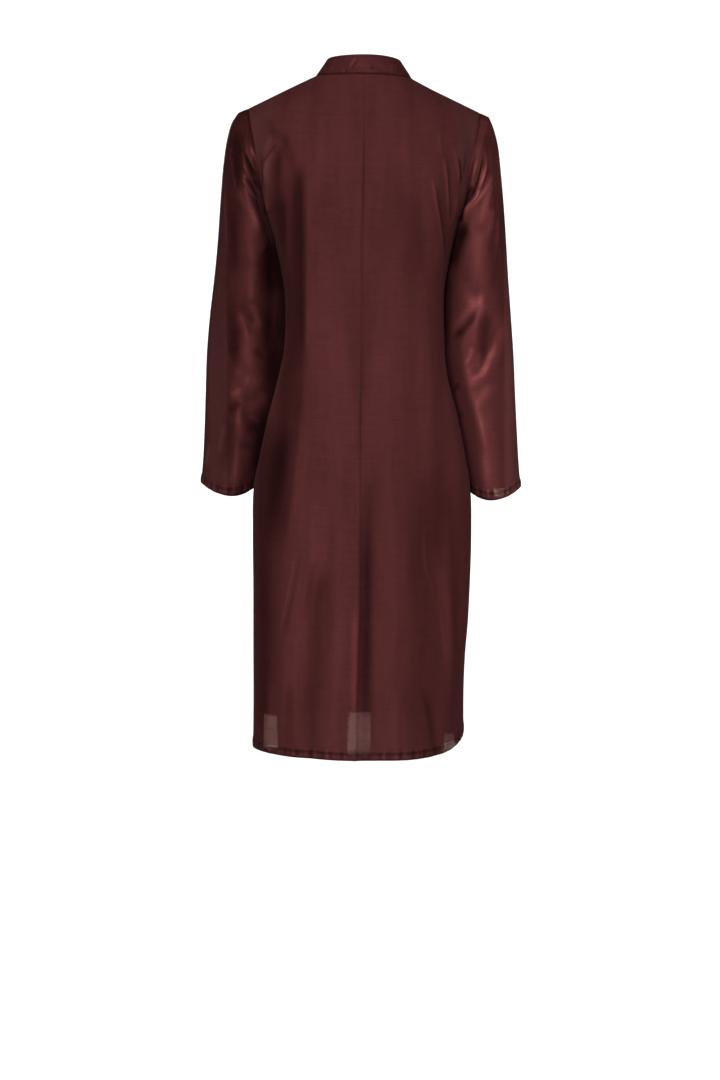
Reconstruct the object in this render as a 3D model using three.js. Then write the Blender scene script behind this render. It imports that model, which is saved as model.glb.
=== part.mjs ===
// A long-sleeved shirt dress in thin silky cloth, filled out as it is when worn, with nobody in it.
// Millimetres, +Z up. The front faces -Y and the wearer's left is +X.
// The origin is in the middle of the neck opening, at the height where the collar meets the shoulders.
import * as THREE from "three";

// Driving sizes
const CLOTH = 1.5; // thickness of the outer cloth's wall
const LINING_CLOTH = 1.0;
const COLLAR_CLOTH = 2.0; // two layers and a stiffener
const SEAM_GAP = 0.3;
const HEM_TURN = 12; // height of the turned hem
const HEM_RAISE = 0.7; // how much thicker the turned hem is
const STEP_RUN = 1.5; // height over which the hem's extra thickness ends

const NECK_HALF_WIDTH = 76;
const NECK_BACK = { y: 58, z: -8 };
const NECK_FRONT = { y: -68, z: -70 };
const COLLAR_TOP_HALF_WIDTH = 58;
const COLLAR_TOP_BACK = { y: 49, z: 25 };
const COLLAR_TOP_FRONT = { y: -63, z: -41 };
const COLLAR_TOP_SIDE_Z = 26;
const COLLAR_LIFT = 1.6; // the collar's lower edge over the neck line
const COLLAR_NOTCH = 9; // how far apart the collar's front ends stand at the top

const SHOULDER_NECK = { x: NECK_HALF_WIDTH, y: -3, z: 0 };
const SHOULDER_TIP = { x: 185, y: -3, z: -53 };
const SHOULDER_CROWN = 0.5; // how far the shoulder line bows up, or down
const SHOULDER_FULLNESS = { back: 11, front: 7 }; // how far the cloth rounds out between shoulder and yoke
const RIGHT_DROOP = { from: 10, over: 110, drop: 7 }; // how much lower the right shoulder and sleeve hang
const NECK_SHARE = 0.5; // share of a panel's upper edge that lies on the neck line

// The armhole: a closed curve through these four places, made of quarter ellipses.
const ARMHOLE = {
  centre: [164, 0, -145],
  top: [SHOULDER_TIP.x, SHOULDER_TIP.y, SHOULDER_TIP.z],
  back: [167, 62, -150],
  under: [153, 2, -225],
  front: [160, -60, -150],
};

// The body below the armholes, from the hem up. z: height, left and right: how far each side reaches,
// side: the side seams' y, back and front: the depths at the middle, seam: the x of the middle seam.
const BODY_SECTIONS = [
  { z: -1086, left: 177, right: 157, side: 12, back: 120, front: -113, seam: 11 },
  { z: -1010, left: 177, right: 157.5, side: 12, back: 121, front: -113, seam: 10 },
  { z: -940, left: 177, right: 160, side: 12, back: 123, front: -113, seam: 8.5 },
  { z: -870, left: 177, right: 165, side: 12, back: 125, front: -113, seam: 6 },
  { z: -800, left: 177, right: 168.5, side: 12, back: 127, front: -113, seam: 5 },
  { z: -730, left: 177, right: 170.5, side: 12, back: 128, front: -112, seam: 5 },
  { z: -660, left: 176, right: 169.5, side: 12, back: 127, front: -110, seam: 5 },
  { z: -605, left: 165.5, right: 159.5, side: 13, back: 123, front: -108, seam: 4.7 },
  { z: -550, left: 153.5, right: 148.5, side: 15, back: 116, front: -105, seam: 4.5 },
  { z: -495, left: 139, right: 137, side: 17, back: 108, front: -103, seam: 4 },
  { z: -445, left: 129, right: 129.5, side: 18, back: 102, front: -103, seam: 4 },
  { z: -395, left: 126.5, right: 127, side: 18, back: 99.5, front: -106, seam: 4 },
  { z: -345, left: 128, right: 127, side: 17, back: 104, front: -112, seam: 4 },
  { z: -300, left: 134, right: 133, side: 15, back: 109, front: -117, seam: 4 },
  { z: -262, left: 142, right: 141.5, side: 10, back: 113, front: -119, seam: 3 },
  { z: -225, left: 153, right: 153, side: 2, back: 115.5, front: -117, seam: 0 },
];
// The yoke above the underarm. turn: degrees round the armhole from its top, arc: how far round the section
// bends before it meets the armhole, and the heights and depths of the middle of the back and of the front.
const YOKE_SECTIONS = [
  { turn: 180, arc: 90, backZ: -225, back: 115.5, frontZ: -225, front: -117 },
  { turn: 150, arc: 86, backZ: -198, back: 117, frontZ: -206, front: -114 },
  { turn: 120, arc: 78, backZ: -168, back: 116.5, frontZ: -184, front: -110 },
  { turn: 90, arc: 69, backZ: -134, back: 112, frontZ: -159, front: -104 },
  { turn: 60, arc: 62, backZ: -96, back: 101, frontZ: -131, front: -95 },
  { turn: 30, arc: 57, backZ: -53, back: 82, frontZ: -101, front: -83 },
  { turn: 0, arc: 54, backZ: NECK_BACK.z, back: NECK_BACK.y, frontZ: NECK_FRONT.z, front: NECK_FRONT.y },
];
const UNDERARM = BODY_SECTIONS.length - 1; // the level of the underarm, counted in sections
const SHOULDER = UNDERARM + YOKE_SECTIONS.length - 1; // the level of the shoulder and neck seams
const SQUARENESS = 2.35; // 2 is an ellipse, more is squarer
// How much higher the hem is at each side seam, and how late it starts to rise.
const HEM_LIFT = { left: { rise: 17, power: 1.2 }, right: { rise: 50, power: 1.85 } };
const HEM_LIFT_FADE = 300; // over this height the lift dies out

// Soft folds in the body cloth. from and to: x and z of the ends, bow: how far the middle bends to +X,
// width and height of the ridge, or of the trough where height is negative.
const BACK_FOLDS = [
  { from: [96, -140], to: [88, -500], bow: -9, width: 17, height: 3.5 },
  { from: [122, -150], to: [112, -500], bow: -5, width: 19, height: -5 },
  { from: [90, -500], to: [128, -790], bow: -4, width: 17, height: 3 },
  { from: [112, -500], to: [146, -760], bow: -4, width: 17, height: -3.5 },
  { from: [-106, -140], to: [-122, -320], bow: 0, width: 13, height: 3.5 },
  { from: [-82, -150], to: [-94, -360], bow: 0, width: 16, height: -3 },
  { from: [-36, -560], to: [-44, -1140], bow: 0, width: 22, height: 4 },
  { from: [-82, -640], to: [-88, -1140], bow: 0, width: 19, height: -4.5 },
  { from: [-122, -760], to: [-124, -1120], bow: 0, width: 17, height: 3 },
  { from: [-140, -480], to: [-160, -660], bow: 0, width: 14, height: 2.5 },
  { from: [42, -720], to: [44, -1150], bow: 0, width: 17, height: 3 },
  { from: [66, -740], to: [84, -1150], bow: 4, width: 17, height: -4.5 },
  { from: [110, -860], to: [118, -1150], bow: 0, width: 17, height: 3 },
];
const FRONT_FOLDS = [
  { from: [88, -250], to: [80, -560], bow: 6, width: 18, height: 4 },
  { from: [112, -260], to: [106, -520], bow: 4, width: 16, height: -4 },
  { from: [-84, -240], to: [-92, -600], bow: -6, width: 18, height: 4 },
  { from: [-112, -270], to: [-118, -560], bow: 0, width: 15, height: -4 },
  { from: [44, -620], to: [52, -1130], bow: 0, width: 18, height: 4.5 },
  { from: [84, -660], to: [92, -1130], bow: 0, width: 16, height: -4.5 },
  { from: [122, -700], to: [134, -1130], bow: 0, width: 14, height: 4 },
  { from: [-52, -600], to: [-48, -1130], bow: 0, width: 19, height: 4 },
  { from: [-92, -700], to: [-84, -1130], bow: 0, width: 15, height: -5 },
  { from: [-126, -660], to: [-128, -1130], bow: 0, width: 15, height: 4 },
];
// The left back's edge folds over the right one at the centre seam, more towards the hem.
const BACK_SEAM = { top: -560, width: 10, leftHeight: 2.2, rightHeight: -2.6, rightCentre: -9 };

// The sleeves from cap to cuff, in sections across the arm. z: the heights of the outer side and of the side next
// to the body, left and right: how far out those two sides are on each sleeve, y: the middle, back and front: how
// far the section reaches from there.
const SLEEVE_SECTIONS = [
  { z: [-61, -231], left: [200.5, 155.6], right: [199, 155.6], y: 0, back: 64, front: 62 },
  { z: [-79, -236], left: [211.5, 154.2], right: [206.5, 154.2], y: -1, back: 64, front: 62 },
  { z: [-108, -243], left: [219.5, 150.8], right: [214, 150.8], y: -3, back: 63, front: 61 },
  { z: [-150, -254], left: [225.5, 146.8], right: [219, 146.8], y: -7, back: 61, front: 60 },
  { z: [-200, -270], left: [229.5, 142.6], right: [223.5, 142.6], y: -13, back: 58, front: 58 },
  { z: [-255, -298], left: [233.5, 136], right: [227.5, 135.5], y: -20, back: 55, front: 55 },
  { z: [-315, -338], left: [239.5, 128.5], right: [231.5, 128.5], y: -26, back: 53, front: 53 },
  { z: [-380, -392], left: [247.5, 125.5], right: [236.5, 125.5], y: -30, back: 51, front: 51 },
  { z: [-440, -448], left: [252.5, 127], right: [240.5, 127], y: -32, back: 49, front: 49 },
  { z: [-500, -508], left: [254.5, 140], right: [243, 137], y: -33, back: 46, front: 46 },
  { z: [-555, -563], left: [256, 153.5], right: [245.5, 149], y: -34, back: 44, front: 43 },
  { z: [-605, -612], left: [258, 164.5], right: [248, 158.5], y: -35, back: 42, front: 41 },
  { z: [-650, -653], left: [261.5, 173], right: [251.5, 167], y: -36, back: 41, front: 39 },
];
const CUFF_BOW = 20; // how much lower the cuff's edge is behind and in front than at its sides
// Soft folds in the sleeves. from and to: degrees round the sleeve from its outer side by the back, and the
// height. The rest is as for the body, with widths measured along the cloth.
const LEFT_SLEEVE_FOLDS = [
  { from: [70, -110], to: [150, -250], bow: 0, width: 9, height: -4.5 },
  { from: [55, -130], to: [130, -262], bow: 0, width: 9, height: 4 },
  { from: [110, -95], to: [158, -235], bow: 0, width: 8, height: 4 },
  { from: [105, -270], to: [78, -400], bow: 8, width: 13, height: 3.5 },
  { from: [40, -420], to: [120, -500], bow: 0, width: 9, height: -4.5 },
  { from: [60, -470], to: [112, -640], bow: 6, width: 12, height: 3.5 },
  { from: [140, -300], to: [104, -440], bow: 0, width: 10, height: -4 },
  { from: [230, -120], to: [200, -260], bow: 0, width: 10, height: 4 },
  { from: [300, -150], to: [215, -290], bow: 0, width: 10, height: -4 },
  { from: [215, -380], to: [300, -440], bow: 0, width: 9, height: 4 },
  { from: [210, -430], to: [310, -500], bow: 0, width: 9, height: -4.5 },
  { from: [290, -470], to: [250, -640], bow: 0, width: 12, height: 3.5 },
];
const RIGHT_SLEEVE_FOLDS = [
  { from: [88, -108], to: [150, -236], bow: 8, width: 8, height: -5 },
  { from: [72, -120], to: [140, -252], bow: 8, width: 8, height: 4.5 },
  { from: [58, -170], to: [110, -330], bow: 0, width: 12, height: 3.5 },
  { from: [128, -300], to: [66, -400], bow: 0, width: 10, height: -4.5 },
  { from: [60, -330], to: [132, -450], bow: 0, width: 11, height: 4 },
  { from: [120, -420], to: [84, -620], bow: 6, width: 13, height: 3.5 },
  { from: [40, -380], to: [100, -480], bow: 0, width: 9, height: -4 },
  { from: [232, -120], to: [205, -260], bow: 0, width: 10, height: 4 },
  { from: [296, -160], to: [218, -300], bow: 0, width: 10, height: -4 },
  { from: [220, -370], to: [305, -450], bow: 0, width: 9, height: 4 },
  { from: [212, -440], to: [300, -510], bow: 0, width: 9, height: -4.5 },
  { from: [285, -480], to: [245, -640], bow: 0, width: 12, height: 3.5 },
];
const FOLD_RADIUS = 52; // turns degrees round a sleeve into a width

const PLACKET_HALF_WIDTH = 15;
const BUTTON = { radius: 5.5, thickness: 2.4, count: 9, first: -104, spacing: 92, sides: 12 };

// The lining hangs inside the body. It ends over the hem, and its armholes are cut further in.
const LINING_BOTTOM = -1012;
const LINING_EASE = 6; // how far it hangs from the outer cloth
const LINING_SHOULDER_SHARE = 0.75; // share of the panel's upper edge that it reaches
const LINING_FOLD_SHARE = 0.5;
const LINING_FRONT_EDGE = 19; // from the middle of the front to the lining's edge

// How finely each wall is divided
const BODY_COLUMNS = 16;
const YOKE_ROWS_PER_SECTION = 2;
const SLEEVE_COLUMNS = 24; // so that they meet the yoke's rows on the armhole
const SLEEVE_ROWS = 19;
const LINING_COLUMNS = 8;
const COLLAR_COLUMNS = 36;
const PLACKET_COLUMNS = 2;

const RADIANS = Math.PI / 180;
const CLOTH_COLOUR = 0x4a1a1c;
const LINING_COLOUR = 0x3c1416;
const BUTTON_COLOUR = 0x3a1517;
const cloth = () => new THREE.MeshStandardMaterial({ color: CLOTH_COLOUR, roughness: 0.5, metalness: 0 });
const liningCloth = () => new THREE.MeshStandardMaterial({ color: LINING_COLOUR, roughness: 0.7, metalness: 0 });
const buttonShell = () => new THREE.MeshStandardMaterial({ color: BUTTON_COLOUR, roughness: 0.35, metalness: 0 });

// Small helpers
const vector = (x, y, z) => new THREE.Vector3(x, y, z);
const clamp = (value, low, high) => Math.min(high, Math.max(low, value));
const mix = (a, b, share) => a + (b - a) * share;
const smooth = (share) => {
  const t = clamp(share, 0, 1);
  return t * t * (3 - 2 * t);
};

// A column of a table at a level between its rows, on a smooth curve through them.
function along(table, column, level) {
  const last = table.length - 1;
  const at = clamp(level, 0, last);
  const i = Math.min(Math.floor(at), last - 1);
  const t = at - i;
  const value = (k) => column(table[clamp(k, 0, last)]);
  const [p, a, b, n] = [value(i - 1), value(i), value(i + 1), value(i + 2)];
  const rise = (b - p) / 2;
  const fall = (n - a) / 2;
  const slopeIn = i === 0 ? b - a : rise;
  const slopeOut = i === last - 1 ? b - a : fall;
  const t2 = t * t;
  const t3 = t2 * t;
  return (2 * t3 - 3 * t2 + 1) * a + (t3 - 2 * t2 + t) * slopeIn + (3 * t2 - 2 * t3) * b + (t3 - t2) * slopeOut;
}

// The level at which a rising column of a table reaches a value.
function levelWhere(table, column, value) {
  let low = 0;
  let high = table.length - 1;
  for (let k = 0; k < 40; k++) {
    const middle = (low + high) / 2;
    if (along(table, column, middle) < value) low = middle;
    else high = middle;
  }
  return (low + high) / 2;
}

// The height of all folds at a place on unrolled cloth.
function foldHeight(folds, a, b, scaleA = 1) {
  let sum = 0;
  for (const fold of folds) {
    const [a0, b0] = [fold.from[0] * scaleA, fold.from[1]];
    const [da, db] = [fold.to[0] * scaleA - a0, fold.to[1] - b0];
    const length = Math.hypot(da, db);
    const q = ((a - a0) * da + (b - b0) * db) / (length * length);
    if (q <= 0 || q >= 1) continue;
    const away = ((a - a0) * db - (b - b0) * da) / length + fold.bow * 4 * q * (1 - q);
    sum += fold.height * Math.exp(-((away / fold.width) ** 2)) * smooth(q / 0.3) * smooth((1 - q) / 0.25);
  }
  return sum;
}

// A point on the armhole of the wearer's left side, by degrees round from its top, by the back.
function armholePoint(turn) {
  const [c, s] = [Math.cos(turn * RADIANS), Math.sin(turn * RADIANS)];
  const upDown = c > 0 ? ARMHOLE.top : ARMHOLE.under;
  const backFront = s > 0 ? ARMHOLE.back : ARMHOLE.front;
  const coordinate = (k) =>
    ARMHOLE.centre[k] +
    Math.abs(c) * (upDown[k] - ARMHOLE.centre[k]) +
    Math.abs(s) * (backFront[k] - ARMHOLE.centre[k]);
  return vector(coordinate(0), coordinate(1), coordinate(2));
}

// A panel's upper edge: the neck line as far as the shoulder, and then the shoulder line.
function upperEdge(isBack, share) {
  const neck = isBack ? NECK_BACK : NECK_FRONT;
  if (share < NECK_SHARE) {
    const angle = (share / NECK_SHARE) * (Math.PI / 2);
    return vector(
      NECK_HALF_WIDTH * Math.sin(angle),
      mix(SHOULDER_NECK.y, neck.y, Math.cos(angle)),
      mix(SHOULDER_NECK.z, neck.z, Math.cos(angle)),
    );
  }
  const q = (share - NECK_SHARE) / (1 - NECK_SHARE);
  return vector(
    mix(SHOULDER_NECK.x, SHOULDER_TIP.x, q),
    mix(SHOULDER_NECK.y, SHOULDER_TIP.y, q),
    mix(SHOULDER_NECK.z, SHOULDER_TIP.z, q) + SHOULDER_CROWN * Math.sin(Math.PI * q),
  );
}

// A section's curve from the middle of the back or front to its edge.
function sectionCurve(middle, edge, arc, share, zPower) {
  const power = 2 / SQUARENESS;
  const end = arc * RADIANS;
  const angle = share * end;
  const across = (Math.sin(angle) / Math.sin(end)) ** power;
  const cosEnd = Math.max(0, Math.cos(end)) ** power;
  const depth = (Math.max(0, Math.cos(angle)) ** power - cosEnd) / (1 - cosEnd);
  return vector(
    edge.x * across,
    mix(edge.y, middle.y, depth),
    mix(middle.z, edge.z, share ** zPower),
  );
}

// The smooth form of the body, before its folds. round: 0 at the centre back, 1 or -1 at a side seam and 2 at the
// centre front, positive on the wearer's left. level: counted in sections from the hem.
function bodyForm(round, level) {
  const turned = ((((round + 2) % 4) + 4) % 4) - 2;
  const left = turned >= 0;
  const isBack = Math.abs(turned) <= 1;
  const share = clamp(isBack ? Math.abs(turned) : 2 - Math.abs(turned), 0, 1);
  let point;
  if (level <= UNDERARM) {
    const read = (column) => along(BODY_SECTIONS, column, level);
    const z = read((row) => row.z);
    const lift = left ? HEM_LIFT.left : HEM_LIFT.right;
    const fade = 1 - smooth((z - BODY_SECTIONS[0].z) / HEM_LIFT_FADE);
    const seam = read((row) => row.seam);
    const middle = vector(0, read((row) => (isBack ? row.back : row.front)), z);
    const reach = left ? read((row) => row.left) - seam : read((row) => row.right) + seam;
    const edge = vector(reach, read((row) => row.side), z + lift.rise * fade);
    point = sectionCurve(middle, edge, 90, share, lift.power);
    point.x = seam + (left ? point.x : -point.x);
    return point;
  }
  const step = level - UNDERARM;
  const read = (column, at = step) => along(YOKE_SECTIONS, column, at);
  const curveAt = (at) => {
    const middle = isBack
      ? vector(0, read((row) => row.back, at), read((row) => row.backZ, at))
      : vector(0, read((row) => row.front, at), read((row) => row.frontZ, at));
    const turn = read((row) => row.turn, at);
    const edge = armholePoint(isBack ? turn : -turn);
    return sectionCurve(middle, edge, read((row) => row.arc, at), share, 2);
  };
  const top = YOKE_SECTIONS.length - 1;
  point = curveAt(step);
  const height = step / top;
  point.addScaledVector(upperEdge(isBack, share).sub(curveAt(top)), height ** 4);
  const fullness = isBack ? SHOULDER_FULLNESS.back : -SHOULDER_FULLNESS.front;
  const rounding = 12.2 * height ** 4 * (1 - height) * Math.sin(Math.PI * share) ** 2;
  point.add(vector(0, fullness * 0.7 * rounding, Math.abs(fullness) * 0.7 * rounding));
  point.x *= left ? 1 : -1;
  return point;
}

// How far the folds move the body cloth out.
function bodyFolds(round, form) {
  const isBack = Math.abs(round) <= 1;
  let height = foldHeight(isBack ? BACK_FOLDS : FRONT_FOLDS, form.x, form.z);
  if (isBack) {
    const strength = smooth((BACK_SEAM.top - form.z) / 400);
    const seam = along(BODY_SECTIONS, (row) => row.seam, levelWhere(BODY_SECTIONS, (row) => row.z, form.z));
    const from = form.x - seam;
    const width = BACK_SEAM.width;
    height += from >= 0 ? strength * BACK_SEAM.leftHeight * Math.exp(-((from / width) ** 2)) : 0;
    height +=
      from < 0 ? strength * BACK_SEAM.rightHeight * Math.exp(-(((from - BACK_SEAM.rightCentre) / width) ** 2)) : 0;
  }
  return height;
}

// A surface's normal from two steps across it. outward: a vector on the side that the normal points to.
function normalFrom(surface, a, b, stepA, stepB, outward) {
  const acrossA = surface(...stepA(a, 1), b).sub(surface(...stepA(a, -1), b));
  const acrossB = surface(a, ...stepB(b, 1)).sub(surface(a, ...stepB(b, -1)));
  const normal = acrossA.cross(acrossB).normalize();
  return normal.dot(outward) < 0 ? normal.negate() : normal;
}

// The body's normal at a place, kept within one panel above the underarm.
function bodyNormal(round, level) {
  const delta = 0.02;
  const openArmhole = level > UNDERARM - 0.01;
  const isBack = Math.abs(round) <= 1;
  const limited = (value) => {
    if (!openArmhole) return value;
    const size = Math.abs(value);
    const kept = isBack ? Math.min(size, 1) : Math.max(size, 1);
    return Math.sign(value) * kept;
  };
  const stepRound = (value, way) => [limited(value + way * delta)];
  const stepLevel = (value, way) => [clamp(value + way * delta * 4, 0, SHOULDER)];
  const form = bodyForm(round, level);
  const outward = vector(form.x * 0.6, form.y, level > UNDERARM ? 60 : 0);
  return normalFrom(bodyForm, round, level, stepRound, stepLevel, outward);
}

// On the shoulder seam both panels use the mean of their normals, so that their edges lie face to face.
function seamNormal(round, level) {
  const share = Math.abs(round) <= 1 ? Math.abs(round) : 2 - Math.abs(round);
  if (level < SHOULDER - 0.1 || share < NECK_SHARE) return bodyNormal(round, level);
  const other = Math.sign(round) * (2 - Math.abs(round));
  return bodyNormal(round, level).add(bodyNormal(other, level)).normalize();
}

// A point on the body cloth, moved out along its normal by so much more than its folds.
function bodyPoint(round, level, out = 0, foldShare = 1) {
  const form = bodyForm(round, level);
  const fromSide = Math.abs(Math.abs(round) - 1); // the folds die out at the armhole and just below it
  const nearArmhole = smooth((level - UNDERARM + 2) / 2);
  const calm = (1 - smooth((level - SHOULDER + 1.2) / 1.2)) * mix(1, smooth(fromSide / 0.2), nearArmhole);
  const folds = bodyFolds(round, form) * foldShare * calm;
  return form.addScaledVector(seamNormal(round, level), folds + out);
}

// The place round the body at which a level's cloth is at x, on the front.
function frontRound(level, x) {
  const target = Math.abs(x);
  const seam = level <= UNDERARM ? along(BODY_SECTIONS, (row) => row.seam, level) : 0;
  const way = x < 0 ? -1 : 1;
  let [low, high] = [0, 0.8];
  for (let k = 0; k < 30; k++) {
    const middle = (low + high) / 2;
    if (Math.abs(bodyForm(way * (2 - middle), level).x - seam) < target) low = middle;
    else high = middle;
  }
  return way * (2 - (low + high) / 2);
}

// A point with the right shoulder's droop.
function settled(point) {
  const drop = RIGHT_DROOP.drop * smooth((-point.x - RIGHT_DROOP.from) / RIGHT_DROOP.over);
  return vector(point.x, point.y, point.z - drop);
}

// A closed wall from the outer and inner points of a grid. points: rows of {outer, inner}.
// closed: the rows are rings, so their last column meets their first.
function wall(rows, closed) {
  const columns = rows[0].length;
  const positions = [];
  for (const layer of ["outer", "inner"])
    for (const row of rows) for (const point of row) positions.push(...settled(point[layer]).toArray());
  const layerSize = rows.length * columns;
  const at = (layer, row, column) => layer * layerSize + row * columns + (column % columns);
  const faces = [];
  const quad = (a, b, c, d) => faces.push(a, b, c, a, c, d);
  const lastColumn = closed ? columns : columns - 1;
  for (let r = 0; r < rows.length - 1; r++)
    for (let c = 0; c < lastColumn; c++) {
      quad(at(0, r, c), at(0, r, c + 1), at(0, r + 1, c + 1), at(0, r + 1, c));
      quad(at(1, r, c), at(1, r + 1, c), at(1, r + 1, c + 1), at(1, r, c + 1));
    }
  for (let c = 0; c < lastColumn; c++) {
    const top = rows.length - 1;
    quad(at(1, 0, c), at(1, 0, c + 1), at(0, 0, c + 1), at(0, 0, c));
    quad(at(0, top, c), at(0, top, c + 1), at(1, top, c + 1), at(1, top, c));
  }
  if (!closed)
    for (let r = 0; r < rows.length - 1; r++) {
      const end = columns - 1;
      quad(at(1, r, 0), at(0, r, 0), at(0, r + 1, 0), at(1, r + 1, 0));
      quad(at(0, r, end), at(1, r, end), at(1, r + 1, end), at(0, r + 1, end));
    }
  const geometry = new THREE.BufferGeometry();
  geometry.setAttribute("position", new THREE.Float32BufferAttribute(positions, 3));
  geometry.setIndex(signedVolume(positions, faces) < 0 ? reversed(faces) : faces);
  geometry.computeVertexNormals();
  return geometry;
}

function reversed(faces) {
  const turned = [];
  for (let i = 0; i < faces.length; i += 3) turned.push(faces[i], faces[i + 2], faces[i + 1]);
  return turned;
}

function signedVolume(positions, faces) {
  const corner = (i) => vector(positions[3 * i], positions[3 * i + 1], positions[3 * i + 2]);
  let sum = 0;
  for (let i = 0; i < faces.length; i += 3)
    sum += corner(faces[i]).dot(corner(faces[i + 1]).cross(corner(faces[i + 2])));
  return sum / 6;
}

function named(name, geometry, material) {
  const mesh = new THREE.Mesh(geometry, material);
  mesh.name = name;
  return mesh;
}

// The levels of a body panel's rows: the turned hem first, and then every section.
function bodyLevels() {
  const levelAt = (z) => levelWhere(BODY_SECTIONS, (row) => row.z, z);
  const hem = BODY_SECTIONS[0].z;
  const levels = [0, levelAt(hem + HEM_TURN), levelAt(hem + HEM_TURN + STEP_RUN)];
  for (let k = 1; k < UNDERARM; k++) levels.push(k);
  for (let k = 0; k <= (SHOULDER - UNDERARM) * YOKE_ROWS_PER_SECTION; k++)
    levels.push(UNDERARM + k / YOKE_ROWS_PER_SECTION);
  return levels;
}

// How much thicker the cloth is on the turned hem, for the row's number from the edge.
const hemRaise = (row) => (row <= 1 ? HEM_RAISE : 0);

// A body panel between two places round the body. ends: a function from a level to both places.
function bodyPanel(name, ends) {
  const rows = bodyLevels().map((level, rowNumber) => {
    const lowered = level === SHOULDER ? level - 0.004 : level;
    const [start, end] = ends(level);
    const row = [];
    for (let c = 0; c <= BODY_COLUMNS; c++) {
      const round = mix(start, end, c / BODY_COLUMNS);
      row.push({
        outer: bodyPoint(round, lowered, CLOTH / 2 + hemRaise(rowNumber)),
        inner: bodyPoint(round, lowered, -CLOTH / 2),
      });
    }
    return row;
  });
  return named(name, wall(rows, false), cloth());
}

// Half a seam's gap as a share of the way round, at a level.
function gapShare(round, level) {
  const step = 0.01;
  const length = bodyForm(round, level).distanceTo(bodyForm(round - Math.sign(round || 1) * step, level)) / step;
  return SEAM_GAP / 2 / Math.max(length, 1);
}

// How far a panel's edge stays from the side seam, or from the armhole's edge, as a share of the way round.
const sideGap = (round, level) => (level > UNDERARM ? 1e-5 : gapShare(round, level));

function backPanel(name, way) {
  return bodyPanel(name, (level) => [way * gapShare(0.05, level), way * (1 - sideGap(0.99, level))]);
}

// The left front runs on under the placket, and the right front ends at the placket's edge.
function frontPanel(name, way) {
  const edge = way > 0 ? -PLACKET_HALF_WIDTH + 1 : -PLACKET_HALF_WIDTH - SEAM_GAP - CLOTH / 2;
  return bodyPanel(name, (level) => {
    const side = 1 + sideGap(1.01, level);
    const reached = frontRound(level, edge);
    return way > 0 ? [side, 4 + reached] : [-side, reached];
  });
}

// The strip that carries the buttons, over the fronts' edges.
function placket() {
  const out = CLOTH + SEAM_GAP;
  const rows = bodyLevels().map((level, rowNumber) => {
    const lowered = level === SHOULDER ? level - 0.02 : level;
    const row = [];
    for (let c = 0; c <= PLACKET_COLUMNS * 2; c++) {
      const x = mix(-PLACKET_HALF_WIDTH, PLACKET_HALF_WIDTH, c / (PLACKET_COLUMNS * 2));
      const round = Math.abs(x) < 0.01 ? 2 : frontRound(lowered, x);
      const raise = rowNumber <= 1 ? HEM_RAISE : 0;
      row.push({
        outer: bodyPoint(round, lowered, out + CLOTH / 2 + raise * 1.4),
        inner: bodyPoint(round, lowered, out - CLOTH / 2 + raise),
      });
    }
    return row;
  });
  return named("placket", wall(rows, false), cloth());
}

function button(number) {
  const z = BUTTON.first - number * BUTTON.spacing;
  const level =
    z > BODY_SECTIONS[UNDERARM].z
      ? UNDERARM + levelWhere(YOKE_SECTIONS, (row) => row.frontZ, z)
      : levelWhere(BODY_SECTIONS, (row) => row.z, z);
  const { radius, thickness, sides } = BUTTON;
  const profile = [
    [0, 0],
    [radius * 0.8, 0],
    [radius, thickness * 0.45],
    [radius * 0.9, thickness],
    [radius * 0.68, thickness * 0.72],
    [0, thickness * 0.72],
  ].map(([r, h]) => new THREE.Vector2(r, h));
  const geometry = new THREE.LatheGeometry(profile, sides);
  const mesh = named(`button_${number + 1}`, geometry, buttonShell());
  const normal = bodyNormal(2, level);
  mesh.position.copy(bodyPoint(2, level, CLOTH * 1.5 + SEAM_GAP * 2 + 0.1));
  mesh.quaternion.setFromUnitVectors(vector(0, 1, 0), normal);
  return mesh;
}

// The standing collar, from its ends at the centre front round by the back.
function collar() {
  const height = [0, 0.5, 1];
  const rows = height.map((up) => {
    const row = [];
    for (let c = 0; c <= COLLAR_COLUMNS; c++) {
      const angle = mix(-Math.PI, Math.PI, c / COLLAR_COLUMNS);
      row.push(collarPoint(angle, up));
    }
    return row;
  });
  return named("collar", wall(rows, false), cloth());
}

// A collar point by its angle from the centre back and its share of the collar's height.
function collarPoint(angle, up) {
  const at = (share) => {
    const [s, c] = [Math.sin(angle), Math.cos(angle)];
    const isBack = c >= 0;
    const low = isBack ? NECK_BACK : NECK_FRONT;
    const high = isBack ? COLLAR_TOP_BACK : COLLAR_TOP_FRONT;
    const depth = Math.abs(c);
    const end = smooth((Math.abs(angle) / Math.PI - 0.86) / 0.14);
    const notch = Math.sign(angle) * end * mix(SEAM_GAP, COLLAR_NOTCH / 2, share ** 2);
    return vector(
      mix(NECK_HALF_WIDTH, COLLAR_TOP_HALF_WIDTH, share) * s + notch,
      mix(SHOULDER_NECK.y, mix(low.y, high.y, share), depth),
      mix(mix(0, COLLAR_TOP_SIDE_Z, share), mix(low.z, high.z, share), depth) + COLLAR_LIFT * (1 - share),
    );
  };
  const point = at(up);
  const upwards = at(Math.min(1, up + 0.1)).sub(at(Math.max(0, up - 0.1)));
  const outward = vector(point.x, point.y + 8, 0).normalize();
  const round = vector(-outward.y, outward.x, 0);
  const normal = round.cross(upwards).normalize();
  if (normal.dot(outward) < 0) normal.negate();
  return {
    outer: point.clone().addScaledVector(normal, COLLAR_CLOTH / 2),
    inner: point.clone().addScaledVector(normal, -COLLAR_CLOTH / 2),
  };
}

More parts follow.
